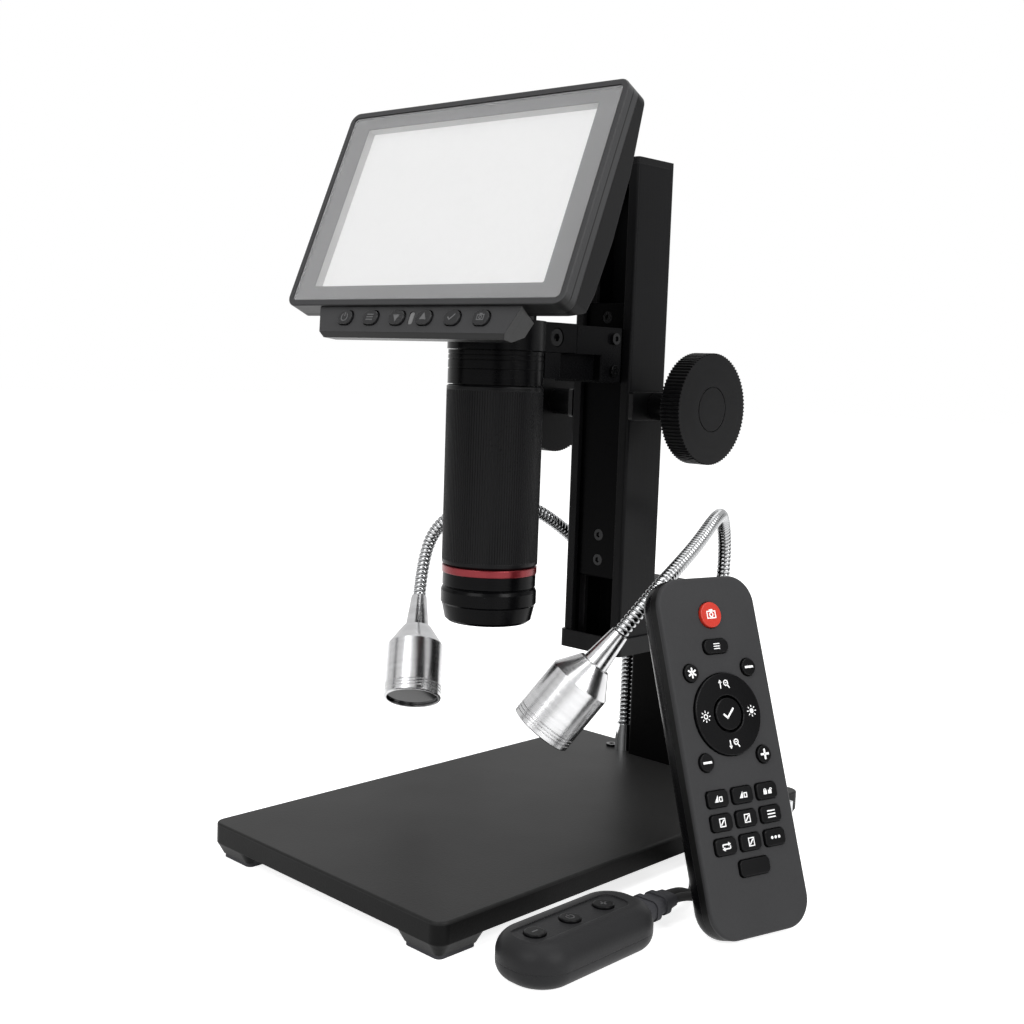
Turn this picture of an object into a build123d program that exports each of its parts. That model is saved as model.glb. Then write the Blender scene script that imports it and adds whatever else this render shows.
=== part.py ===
"""Bench microscope with its own screen, two gooseneck lamps, a lamp controller on its lead and a remote control.

The frame's origin is where the optical axis meets the top of the base: X runs to the right, Y to the
back and Z up, in millimetres. The surface that everything stands on is STAGE_HEIGHT below the origin.
"""

import os
from math import cos, degrees, pi, radians, sin, tan

from build123d import *

# ---------------------------------------------------------------- driving dimensions, mm
FIT = 0.06  # radial clearance of a running fit
GAP = 0.3  # clearance between pieces that move past each other

# base
BASE_WIDTH = 121.0
BASE_LENGTH = 200.0
BASE_CORNER = 4.5
STAGE_HEIGHT = 13.0  # top of the base above the table
PLATE_HEIGHT = 7.3  # outer height of the skirt
PLATE_SKIN = 2.5
SKIRT_WALL = 3.0
AXIS_FROM_FRONT = 77.0  # optical axis behind the base's front edge
LEG_SIDE = 22.0
LEG_TAPER = 30.0
PAD_THICKNESS = 1.5

# post and column
COLUMN_WIDTH = 29.0
COLUMN_DEPTH = 22.0
COLUMN_WALL = 2.0
COLUMN_SLOT = 20.4  # width of the slot between the front lips
COLUMN_FRONT = 58.3  # front face behind the optical axis
COLUMN_BOTTOM = 57.4
COLUMN_TOP = 245.0
CAP_PROUD = 1.0
CAP_FLOOR = 2.0
BOTTOM_CAP_HEIGHT = 7.0
TOP_CAP_HEIGHT = 2.5
TOP_CAP_PLUG = 4.0
POST_WIDTH = 37.0
POST_DEPTH = 13.0
POST_FROM_REAR = 2.0  # gap from the base's rear edge
POST_HEIGHT = 79.0
POST_NECK_WIDTH = 22.0

# rack and pinion
TOOTH_MODULE = 0.6
PINION_TEETH = 16
PINION_WIDTH = 9.0
PINION_FROM_BACK_WALL = 6.0  # shaft axis to the inside of the column's back wall
PINION_HEIGHT = 153.6
SHAFT_RADIUS = 3.0
BEARING_RADIUS = 5.0
BEARING_PLATE = 2.0
BEARING_PLATE_HEIGHT = 11.0
KNOB_RADIUS = 21.0
KNOB_RIM = 8.5
KNOB_FACE = 43.5  # knob's outer face from the centre plane
KNOB_HUB_RADIUS = 5.4
KNOB_GROOVES = 90
RACK_WIDTH = 8.0
RACK_BACKING = 1.85
RACK_BOTTOM = 88.0
RACK_TEETH = 54

# carriage
BAR_THICKNESS = 4.3
BAR_BOTTOM = 85.0
BAR_TOP = 193.0
STRIP_THICKNESS = 1.8
STRIP_WIDTH = 2.8
ARM_WIDTH = 24.0
ARM_TOP = 183.0
ARM_HEIGHT = 10.5
ARM_FRONT = 29.5
ARM_BACK = 56.0
ARM_LEG_FRONT = 44.0
ARM_LEG_DROP = 10.3
ARM_NECK_WIDTH = 19.0
SADDLE_FRONT = 12.5
SADDLE_BACK = 21.0
WEB_WIDTH = 16.0

# tube
NECK_RADIUS = 14.0
COLLAR_RADIUS = 17.2
COLLAR_HEIGHT = 12.0
COLLAR_TOP = 172.4
BARREL_RADIUS = 15.3
SLEEVE_RADIUS = 17.45
SLEEVE_LENGTH = 64.6
SLEEVE_GROOVES = 80
BORE_RADIUS = 12.6
NECK_BORE = 10.0
RED_RING_HEIGHT = 2.7
RED_RING_RADIUS = 17.3
THREAD_LENGTH = 4.5
THREAD_RADIUS = 14.2
HOOD_RADIUS = 17.0
HOOD_FLARE_RADIUS = 17.45
HOOD_LENGTH = 17.8
HOOD_MOUTH = 11.5
CELL_LENGTH = 30.0
CELL_ABOVE_THREAD = 10.0
CELL_BORE = 9.5
CELL_TRAVEL = 12.0
DRIVE_PIN = 1.0  # radius of the pin that moves the cell
CLAMP_RADIUS = 17.6
NECK_REVEAL = 3.0  # bare neck between the clamp and the screen housing
CLAMP_HEIGHT = 10.7
CLAMP_SLIT = 1.2

# screen head
HEAD_YAW = 5.0  # head turned in its clamp
SCREEN_TILT = 23.5
SCREEN_REACH = 28.2  # centre of the glass in front of the optical axis
SCREEN_HEIGHT = 222.2
FRAME_WIDTH = 125.0
FRAME_HEIGHT = 79.0
FRAME_CORNER = 4.0
FRAME_DEPTH = 5.5
BEAD = 0.5  # the frame's rim stands proud of the glass
FRAME_RIM = 2.2
GLASS_THICKNESS = 1.2
PANEL_WIDTH = 112.6
PANEL_HEIGHT = 68.6
PANEL_THICKNESS = 3.2
SHELL_DEPTH = 8.5  # deepest part of the back behind the frame
SHELL_EDGE_TOP = 3.4  # depth of the back's upper edge
SHELL_EDGE_BOTTOM = 2.4
SHELL_WALL = 1.8
BULGE_WIDTH = 96.0
BULGE_HEIGHT = 54.0
BULGE_DEPTH = 7.5
BULGE_TAPER = 20.0
NECK_HOUSING_WIDTH = 30.0
NECK_HOUSING_BACK = 14.0
NECK_HOUSING_HEIGHT = 34.0
CHIN_TOP_WIDTH = 92.0
CHIN_BOTTOM_WIDTH = 83.0
CHIN_DROP = 11.6
CHIN_DEPTH = 12.0
CHIN_TAPER = 16.0
CHIN_SETBACK = 1.0
CHIN_WALL = 2.0
BUTTON_PITCH = 12.35
BUTTON_WIDTH = 6.8
BUTTON_HEIGHT = 5.2
BUTTON_PROUD = 0.9
BUTTON_TRAVEL = 0.6
BUTTON_CLEARANCE = 0.25

# lamps
LAMP_FOOT_X = 23.5
LAMP_FOOT_FROM_REAR = 11.0
LAMP_RADIUS = 11.3
LAMP_CYLINDER = 22.0
LAMP_CONE = 8.3
LAMP_FERRULE = 13.4
FERRULE_RADIUS = 4.8
LAMP_WALL = 1.1
LENS_THICKNESS = 3.5
GOOSENECK_RADIUS = 2.75
SOCKET_RADIUS = 4.2
SOCKET_HEIGHT = 12.0
LEFT_LENS = (-44.0, 3.5, 35.9)
LEFT_AIM = (-0.388, 0.402, 0.830)  # from the lens up through the lamp
RIGHT_LENS = (34.2, -6.7, 42.0)
RIGHT_AIM = (0.433, 0.416, 0.799)

# lamp controller and cords
CONTROLLER_X = 84.3
CONTROLLER_Y = -41.7
CONTROLLER_LENGTH = 58.7
CONTROLLER_WIDTH = 26.3
CONTROLLER_HEIGHT = 14.0
CONTROLLER_CORNER = 12.2
CONTROLLER_PITCH = 15.6
CONTROLLER_WALL = 1.8
CONTROLLER_TOP_EDGE = 6.5
CONTROLLER_BOTTOM_EDGE = 5.0
PAD_TRAVEL = 0.6
PAD_RADIUS = 3.3
PAD_ROW_OFFSET = 3.3  # the row of pads sits towards the end away from the cords
RELIEF_LENGTH = 16.5
CORD_RADIUS = 1.5
COIL_RADIUS = 15.0  # middle of the turns
COIL_TURNS_ACROSS = 1
COIL_TURNS = 4.25
COIL_X = 84.0
COIL_Y = 50.3

# remote control
REMOTE_WIDTH = 41.0
REMOTE_LENGTH = 116.5
REMOTE_THICKNESS = 12.5
REMOTE_CORNER = 9.8
REMOTE_EDGE = 6.5
REMOTE_SPLIT = 4.5  # depth of the front shell
REMOTE_WALL = 2.0
REMOTE_HEADING = 75.1
REMOTE_LEAN = 20.3
REMOTE_X = 116.9
REMOTE_Y = 13.1
KEY_PROUD = 1.0
KEY_CLEARANCE = 0.25
KEY_TRAVEL = 0.6
RING_RADIUS = 13.5
OK_RADIUS = 5.3
OK_CLEARANCE = 0.8
POWER_KEY_RADIUS = 4.3
SMALL_KEY_RADIUS = 2.9
GRID_KEY_WIDTH = 8.6
GRID_KEY_HEIGHT = 5.2
MENU_KEY_WIDTH = 10.2
MENU_KEY_HEIGHT = 4.7
LOWER_KEY_WIDTH = 12.4
LOWER_KEY_HEIGHT = 5.2
POWER_KEY_UP = 103.5  # key centres above the remote's lower end
MENU_KEY_UP = 92.9
RING_UP = 70.4
SMALL_KEY_UP = 14.55  # the four small keys from the ring's centre
SMALL_KEY_OUT = 12.1
GRID_UP = 36.6
GRID_COLUMN = 10.3
GRID_ROW = 7.5
LOWER_KEY_UP = 21.3
DOOR_UP = 26.0
DOOR_WIDTH = 24.0
DOOR_LENGTH = 30.0
CELL_RADIUS = 10.0
CELL_THICKNESS = 2.5

# ---------------------------------------------------------------- places worked out from them
FLOOR = -STAGE_HEIGHT
BASE_FRONT = -AXIS_FROM_FRONT
BASE_REAR = BASE_FRONT + BASE_LENGTH
BASE_MIDDLE = (BASE_FRONT + BASE_REAR) / 2
LEG_HEIGHT = STAGE_HEIGHT - PLATE_HEIGHT - PAD_THICKNESS
LAMP_FOOT_Y = BASE_REAR - LAMP_FOOT_FROM_REAR

COLUMN_BACK = COLUMN_FRONT + COLUMN_DEPTH
COLUMN_MIDDLE = (COLUMN_FRONT + COLUMN_BACK) / 2
CHANNEL_HALF = COLUMN_WIDTH / 2 - COLUMN_WALL
CHANNEL_FRONT = COLUMN_FRONT + COLUMN_WALL
CHANNEL_BACK = COLUMN_BACK - COLUMN_WALL
POST_BACK = BASE_REAR - POST_FROM_REAR
POST_FRONT = POST_BACK - POST_DEPTH

PITCH_RADIUS = TOOTH_MODULE * PINION_TEETH / 2
PITCH = pi * TOOTH_MODULE
PINION_Y = CHANNEL_BACK - PINION_FROM_BACK_WALL
PITCH_LINE_Y = PINION_Y - PITCH_RADIUS
BAR_FRONT = CHANNEL_FRONT + GAP
BAR_BACK = BAR_FRONT + BAR_THICKNESS
BAR_HALF = CHANNEL_HALF - GAP

SLEEVE_TOP = COLLAR_TOP - COLLAR_HEIGHT - GAP
SLEEVE_BOTTOM = SLEEVE_TOP - SLEEVE_LENGTH
RING_TOP = SLEEVE_BOTTOM - GAP
RING_BOTTOM = RING_TOP - RED_RING_HEIGHT
THREAD_BOTTOM = RING_BOTTOM - THREAD_LENGTH
HOOD_BOTTOM = RING_BOTTOM - HOOD_LENGTH
NECK_TOP = COLLAR_TOP + GAP + CLAMP_HEIGHT + NECK_REVEAL
CELL_BOTTOM = THREAD_BOTTOM + CELL_ABOVE_THREAD
PIN_HEIGHT = CELL_BOTTOM + CELL_LENGTH / 2

yaw, tilt = radians(HEAD_YAW), radians(SCREEN_TILT)
ACROSS = Vector(cos(yaw), sin(yaw), 0)
FACING = Vector(sin(yaw), -cos(yaw), 0)
UP = Vector(0, 0, 1)
HEAD = Plane(origin=(0, 0, 0), x_dir=ACROSS, z_dir=UP)
HEAD_SIDE = Plane(origin=(0, 0, 0), x_dir=HEAD.y_dir, z_dir=ACROSS)
SCREEN = Plane(
    origin=FACING * SCREEN_REACH + UP * SCREEN_HEIGHT,
    x_dir=ACROSS,
    z_dir=FACING * cos(tilt) + UP * sin(tilt),
)
SCREEN_SIDE = Plane(origin=SCREEN.origin, x_dir=SCREEN.z_dir, z_dir=-SCREEN.x_dir)
TUBE_AXIS = Axis.Z

heading, lean = radians(REMOTE_HEADING), radians(REMOTE_LEAN)
REMOTE_RISE = REMOTE_EDGE - REMOTE_EDGE * cos(lean) + (REMOTE_THICKNESS - REMOTE_EDGE) * sin(lean)
REMOTE = Plane(
    origin=(REMOTE_X, REMOTE_Y, FLOOR + REMOTE_RISE),
    x_dir=(cos(heading), sin(heading), 0),
    z_dir=(sin(heading) * cos(lean), -cos(heading) * cos(lean), sin(lean)),
)

PIECES = {}  # node name to the finished piece


def bend_radii(points):
    """Largest arc at each corner of a route: 0.45 of the shorter run over the tangent of half the turn."""
    spots = [Vector(*point) for point in points]
    runs = [after - before for before, after in zip(spots, spots[1:])]
    return [
        0.45 * min(first.length, second.length) / tan(radians(first.get_angle(second)) / 2)
        for first, second in zip(runs, runs[1:])
    ]


def tube_along(points, radius):
    """Round tube along straight runs joined by tangent arcs."""
    radii = bend_radii(points)
    with BuildPart() as tube:
        with BuildLine() as route:
            FilletPolyline(*points, radius=radii)
        with BuildSketch(Plane(origin=route.line @ 0, z_dir=route.line % 0)):
            Circle(radius)
        sweep(path=route.line)
    run = sum(edge.length for edge in route.line.edges())
    expected = pi * radius**2 * run
    print("radii", [round(value, 1) for value in radii], "length", round(run, 1))
    print("volume over section times length", round(tube.part.volume / expected, 4))
    return tube


def screw(head_plane, head_radius, head_height, shank_radius, shank_length):
    """Cap screw: its head stands on the plane, its shank runs the other way."""
    with BuildPart() as fastener:
        with BuildSketch(head_plane):
            Circle(head_radius)
        extrude(amount=head_height)
        with BuildSketch(head_plane.offset(head_height)):
            RegularPolygon(head_radius * 0.5, 6)
        extrude(amount=-head_height / 2, mode=Mode.SUBTRACT)
        with BuildSketch(head_plane):
            Circle(shank_radius)
        extrude(amount=-shank_length)
    return fastener.part


# ---------------------------------------------------------------- base, feet, post
POST_SCREW_X = 11.0
POST_SCREW_Y = (POST_FRONT + POST_BACK) / 2
SCREW_SHANK = 1.95
SCREW_HOLE = 2.0
SCREW_HEAD = 3.4
SCREW_HEAD_HEIGHT = 2.2
SPIGOT_RADIUS = 3.3
GLAND_X = 33.0
GLAND_FROM_REAR = 26.0
GLAND_Y = BASE_REAR - GLAND_FROM_REAR
GLAND_RADIUS = 4.5
BASE_SCREW_X = 30.5

with BuildPart() as base_plate:
    with BuildSketch(Plane.XY.offset(-PLATE_HEIGHT)):
        with Locations((0, BASE_MIDDLE)):
            RectangleRounded(BASE_WIDTH, BASE_LENGTH, BASE_CORNER)
    extrude(amount=PLATE_HEIGHT)
    fillet(base_plate.faces().sort_by(Axis.Z)[-1].edges(), 0.8)
    with BuildSketch(Plane.XY.offset(-PLATE_HEIGHT)):
        with Locations((0, BASE_MIDDLE)):
            Rectangle(BASE_WIDTH - 2 * SKIRT_WALL, BASE_LENGTH - 2 * SKIRT_WALL)
            with GridLocations(BASE_WIDTH - LEG_SIDE, BASE_LENGTH - LEG_SIDE, 2, 2):
                Rectangle(LEG_SIDE, LEG_SIDE, mode=Mode.SUBTRACT)
        with Locations((GLAND_X, GLAND_Y)):
            Circle(GLAND_RADIUS, mode=Mode.SUBTRACT)
    extrude(amount=PLATE_HEIGHT - PLATE_SKIN, mode=Mode.SUBTRACT)
    with BuildSketch(Plane.XY.offset(-PLATE_HEIGHT)):
        with Locations((0, BASE_MIDDLE)):
            with GridLocations(BASE_WIDTH - LEG_SIDE, BASE_LENGTH - LEG_SIDE, 2, 2):
                RectangleRounded(LEG_SIDE, LEG_SIDE, BASE_CORNER)
    extrude(amount=-LEG_HEIGHT, taper=LEG_TAPER)
    with BuildSketch():
        with Locations((-POST_SCREW_X, POST_SCREW_Y), (POST_SCREW_X, POST_SCREW_Y)):
            Circle(SCREW_HOLE)
        with Locations((-LAMP_FOOT_X, LAMP_FOOT_Y), (LAMP_FOOT_X, LAMP_FOOT_Y)):
            Circle(SPIGOT_RADIUS)
        with Locations((-BASE_SCREW_X, LAMP_FOOT_Y), (BASE_SCREW_X, LAMP_FOOT_Y)):
            Circle(SCREW_HOLE)
    extrude(amount=-PLATE_SKIN, mode=Mode.SUBTRACT)
PIECES["base_plate"] = base_plate

PAD_SIDE = LEG_SIDE - 2 * LEG_HEIGHT * tan(radians(LEG_TAPER))
with BuildPart() as rubber_feet:
    with BuildSketch(Plane.XY.offset(FLOOR)):
        with Locations((0, BASE_MIDDLE)):
            with GridLocations(BASE_WIDTH - LEG_SIDE, BASE_LENGTH - LEG_SIDE, 2, 2):
                RectangleRounded(PAD_SIDE - 1, PAD_SIDE - 1, 2)
    extrude(amount=PAD_THICKNESS)
PIECES["rubber_feet"] = rubber_feet

NECK_BOTTOM = COLUMN_BOTTOM + BOTTOM_CAP_HEIGHT - CAP_FLOOR + GAP
COLUMN_SCREW_HEIGHTS = (NECK_BOTTOM + 4, POST_HEIGHT - 4)
COLUMN_SCREW_LENGTH = 14.0
with BuildPart() as rear_post:
    with BuildSketch():
        with Locations((0, (POST_FRONT + POST_BACK) / 2)):
            RectangleRounded(POST_WIDTH, POST_DEPTH, 2)
    extrude(amount=POST_HEIGHT)
    fillet(rear_post.faces().sort_by(Axis.Z)[-1].edges(), 1)
    with BuildSketch(Plane.XY.offset(NECK_BOTTOM)):
        with Locations((0, (COLUMN_BACK + POST_FRONT + POST_DEPTH / 2) / 2)):
            Rectangle(POST_NECK_WIDTH, POST_FRONT + POST_DEPTH / 2 - COLUMN_BACK)
    extrude(amount=POST_HEIGHT - NECK_BOTTOM)
    with BuildSketch():
        with Locations((-POST_SCREW_X, POST_SCREW_Y), (POST_SCREW_X, POST_SCREW_Y)):
            Circle(SCREW_HOLE)
    extrude(amount=12, mode=Mode.SUBTRACT)
    with BuildSketch(Plane.XZ.offset(-COLUMN_BACK)):
        with Locations(*[(0, height) for height in COLUMN_SCREW_HEIGHTS]):
            Circle(SCREW_HOLE)
    extrude(amount=-COLUMN_SCREW_LENGTH, mode=Mode.SUBTRACT)
PIECES["rear_post"] = rear_post

with BuildPart() as frame_screws:
    for side in (-1, 1):
        under = Plane(origin=(side * POST_SCREW_X, POST_SCREW_Y, -PLATE_SKIN), z_dir=(0, 0, -1))
        add(screw(under, SCREW_HEAD, SCREW_HEAD_HEIGHT, SCREW_SHANK, PLATE_SKIN + 10))
        above = Plane(origin=(side * BASE_SCREW_X, LAMP_FOOT_Y, 0), z_dir=(0, 0, 1))
        add(screw(above, SCREW_HEAD * 0.7, 1.0, SCREW_SHANK, PLATE_SKIN))
    for height in COLUMN_SCREW_HEIGHTS:
        inside = Plane(origin=(0, CHANNEL_BACK, height), z_dir=(0, -1, 0))
        add(screw(inside, SCREW_HEAD, SCREW_HEAD_HEIGHT, SCREW_SHANK, COLUMN_WALL + 12))
PIECES["frame_screws"] = frame_screws

# ---------------------------------------------------------------- column and its caps
COLUMN_PROFILE_FILLET = 1.2
BEARING_PLANE = Plane(origin=(0, PINION_Y, PINION_HEIGHT), x_dir=(0, 1, 0), z_dir=(1, 0, 0))

with BuildPart() as column:
    with BuildSketch(Plane.XY.offset(COLUMN_BOTTOM)):
        with Locations((0, COLUMN_MIDDLE)):
            RectangleRounded(COLUMN_WIDTH, COLUMN_DEPTH, COLUMN_PROFILE_FILLET)
            Rectangle(2 * CHANNEL_HALF, COLUMN_DEPTH - 2 * COLUMN_WALL, mode=Mode.SUBTRACT)
        with Locations((0, COLUMN_FRONT + COLUMN_WALL / 2)):
            Rectangle(COLUMN_SLOT, COLUMN_WALL * 2, mode=Mode.SUBTRACT)
    extrude(amount=COLUMN_TOP - COLUMN_BOTTOM)
    with BuildSketch(BEARING_PLANE):
        Circle(BEARING_RADIUS)
    extrude(amount=COLUMN_WIDTH, both=True, mode=Mode.SUBTRACT)
    with BuildSketch(Plane.XZ.offset(-COLUMN_BACK)):
        with Locations(*[(0, height) for height in COLUMN_SCREW_HEIGHTS]):
            Circle(SCREW_HOLE)
    extrude(amount=COLUMN_WALL, mode=Mode.SUBTRACT)
PIECES["column"] = column

with BuildPart() as column_caps:
    with BuildSketch(Plane.XY.offset(COLUMN_BOTTOM - CAP_FLOOR)):
        with Locations((0, COLUMN_MIDDLE)):
            RectangleRounded(COLUMN_WIDTH + 2 * CAP_PROUD, COLUMN_DEPTH + 2 * CAP_PROUD, 2)
    extrude(amount=BOTTOM_CAP_HEIGHT)
    with BuildSketch(Plane.XY.offset(COLUMN_BOTTOM)):
        with Locations((0, COLUMN_MIDDLE)):
            RectangleRounded(COLUMN_WIDTH, COLUMN_DEPTH, COLUMN_PROFILE_FILLET)
    extrude(amount=BOTTOM_CAP_HEIGHT, mode=Mode.SUBTRACT)
    with BuildSketch(Plane.XY.offset(COLUMN_TOP)):
        with Locations((0, COLUMN_MIDDLE)):
            RectangleRounded(COLUMN_WIDTH, COLUMN_DEPTH, COLUMN_PROFILE_FILLET)
    extrude(amount=TOP_CAP_HEIGHT)
    with BuildSketch(Plane.XY.offset(COLUMN_TOP)):
        with Locations((0, COLUMN_MIDDLE)):
            Rectangle(2 * (CHANNEL_HALF - FIT), COLUMN_DEPTH - 2 * (COLUMN_WALL + FIT))
    extrude(amount=-TOP_CAP_PLUG)
PIECES["column_caps"] = column_caps

with BuildPart() as guide_strips:
    with BuildSketch(Plane.XY.offset(COLUMN_BOTTOM)):
        for side in (-1, 1):
            with Locations((side * (CHANNEL_HALF - STRIP_WIDTH / 2), BAR_BACK + GAP + STRIP_THICKNESS / 2)):
                Rectangle(STRIP_WIDTH, STRIP_THICKNESS)
    extrude(amount=COLUMN_TOP - TOP_CAP_PLUG - COLUMN_BOTTOM)
PIECES["guide_strips"] = guide_strips

# ---------------------------------------------------------------- focus drive
BEARING_INNER = PINION_WIDTH / 2 + 0.5
with BuildPart() as pinion_bearings:
    for side in (-1, 1):
        wall_face = BEARING_PLANE.offset(side * COLUMN_WIDTH / 2)
        plate_middle = COLUMN_MIDDLE - PINION_Y
        with BuildSketch(wall_face):
            with Locations((plate_middle, 0)):
                RectangleRounded(COLUMN_DEPTH, BEARING_PLATE_HEIGHT, 1)
        extrude(amount=side * BEARING_PLATE)
        with BuildSketch(wall_face):
            Circle(BEARING_RADIUS)
        extrude(amount=-side * (COLUMN_WIDTH / 2 - BEARING_INNER))
    with BuildSketch(BEARING_PLANE):
        Circle(SHAFT_RADIUS + FIT)
    extrude(amount=COLUMN_WIDTH, both=True, mode=Mode.SUBTRACT)
PIECES["pinion_bearings"] = pinion_bearings


def tooth_outline(thickness_share):
    """Half-widths of a straight-sided tooth, as (distance beyond the pitch line, half-width)."""
    half = thickness_share * PITCH / 2
    slope = tan(radians(20))
    rise, dip = TOOTH_MODULE, 1.25 * TOOTH_MODULE
    return rise, dip, half - slope * rise, half + slope * dip


KNOB_SEAT = KNOB_FACE - 5.0  # end of the shaft inside the knob
with BuildPart() as pinion_shaft:
    with BuildSketch(BEARING_PLANE.offset(-KNOB_SEAT)):
        Circle(SHAFT_RADIUS)
    extrude(amount=2 * KNOB_SEAT)
    rise, dip, tip_half, root_half = tooth_outline(0.40)
    with BuildSketch(BEARING_PLANE.offset(-PINION_WIDTH / 2)):
        Circle(PITCH_RADIUS - dip)
        with PolarLocations(0, PINION_TEETH, start_angle=180 / PINION_TEETH):
            with BuildLine():
                Polyline(
                    (PITCH_RADIUS - 1.6 * dip, -root_half),
                    (PITCH_RADIUS + rise, -tip_half),
                    (PITCH_RADIUS + rise, tip_half),
                    (PITCH_RADIUS - 1.6 * dip, root_half),
                    close=True,
                )
            make_face()
    extrude(amount=PINION_WIDTH)
PIECES["pinion_shaft"] = pinion_shaft

KNOB_GROOVE = 0.5
KNOB_DISC_RADIUS = 8.2
for side, name in ((1, "focus_knob_right"), (-1, "focus_knob_left")):
    with BuildPart() as knob:
        outer_face = BEARING_PLANE.offset(side * KNOB_FACE)
        with BuildSketch(outer_face):
            Circle(KNOB_RADIUS)
            with PolarLocations(KNOB_RADIUS, KNOB_GROOVES):
                Circle(KNOB_GROOVE, mode=Mode.SUBTRACT)
        extrude(amount=-side * KNOB_RIM)
        with BuildSketch(outer_face):
            Circle(KNOB_DISC_RADIUS + 0.4)
            Circle(KNOB_DISC_RADIUS, mode=Mode.SUBTRACT)
        extrude(amount=-side * 0.4, mode=Mode.SUBTRACT)
        with BuildSketch(outer_face.offset(-side * KNOB_RIM)):
            Circle(KNOB_HUB_RADIUS)
        hub = KNOB_FACE - KNOB_RIM - COLUMN_WIDTH / 2 - BEARING_PLATE - GAP
        extrude(amount=-side * hub)
        with BuildSketch(BEARING_PLANE):
            Circle(SHAFT_RADIUS + 0.02)
        extrude(amount=side * KNOB_SEAT, mode=Mode.SUBTRACT)
    PIECES[name] = knob

# ---------------------------------------------------------------- carriage
RACK_FRONT = PITCH_LINE_Y - 1.25 * TOOTH_MODULE - RACK_BACKING + 1.25 * TOOTH_MODULE - TOOTH_MODULE
RACK_SCREW_HEIGHTS = (92.0, 102.0, 187.5)
RACK_SCREW_HEAD = 2.3
RACK_SCREW_DEPTH = 1.5
ARM_SCREW_X = 7.0
ARM_SCREW_HEIGHTS = (167.0, 178.5)
ARM_BOTTOM = ARM_TOP - ARM_HEIGHT
LEG_BOTTOM = ARM_BOTTOM - ARM_LEG_DROP
FRONT_PLANE = Plane(origin=(0, BAR_FRONT, 0), x_dir=(1, 0, 0), z_dir=(0, -1, 0))

with BuildPart() as slide_bar:
    with BuildSketch(Plane.XY.offset(BAR_BOTTOM)):
        with Locations((0, (BAR_FRONT + BAR_BACK) / 2)):
            Rectangle(2 * BAR_HALF, BAR_THICKNESS)
    extrude(amount=BAR_TOP - BAR_BOTTOM)
    chamfer(slide_bar.faces().sort_by(Axis.Y)[0].edges(), 0.4)
    with BuildSketch(FRONT_PLANE):
        with Locations(*[(0, height) for height in RACK_SCREW_HEIGHTS]):
            Circle(1.3)
        with Locations(*[(side * ARM_SCREW_X, height) for side in (-1, 1) for height in ARM_SCREW_HEIGHTS]):
            Circle(1.3)
    extrude(amount=-BAR_THICKNESS, mode=Mode.SUBTRACT)
    with BuildSketch(FRONT_PLANE):
        with Locations(*[(0, height) for height in RACK_SCREW_HEIGHTS]):
            Circle(RACK_SCREW_HEAD + 0.1)
    extrude(amount=-RACK_SCREW_DEPTH, mode=Mode.SUBTRACT)
PIECES["slide_bar"] = slide_bar

RACK_PLANE = Plane(origin=(0, PITCH_LINE_Y, PINION_HEIGHT), x_dir=(0, 1, 0), z_dir=(1, 0, 0))
RACK_FIRST_TOOTH = round((RACK_BOTTOM - PINION_HEIGHT) / PITCH)
with BuildPart() as rack:
    rise, dip, tip_half, root_half = tooth_outline(0.44)
    low = (RACK_FIRST_TOOTH - 0.5) * PITCH
    high = low + RACK_TEETH * PITCH
    with BuildSketch(RACK_PLANE.offset(-RACK_WIDTH / 2)):
        with BuildLine():
            Polyline(
                (BAR_BACK - PITCH_LINE_Y, low),
                (-dip, low),
                (-dip, high),
                (BAR_BACK - PITCH_LINE_Y, high),
                close=True,
            )
        make_face()
        with Locations(*[(0, (RACK_FIRST_TOOTH + k) * PITCH) for k in range(RACK_TEETH)]):
            with BuildLine():
                Polyline(
                    (-1.1 * dip, -root_half),
                    (-dip, -root_half),
                    (rise, -tip_half),
                    (rise, tip_half),
                    (-dip, root_half),
                    (-1.1 * dip, root_half),
                    close=True,
                )
            make_face()
    extrude(amount=RACK_WIDTH)
    with BuildSketch(FRONT_PLANE):
        with Locations(*[(0, height) for height in RACK_SCREW_HEIGHTS]):
            Circle(1.3)
    extrude(amount=-(BAR_THICKNESS + RACK_BACKING + 2 * rise), mode=Mode.SUBTRACT)
PIECES["rack"] = rack

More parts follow.
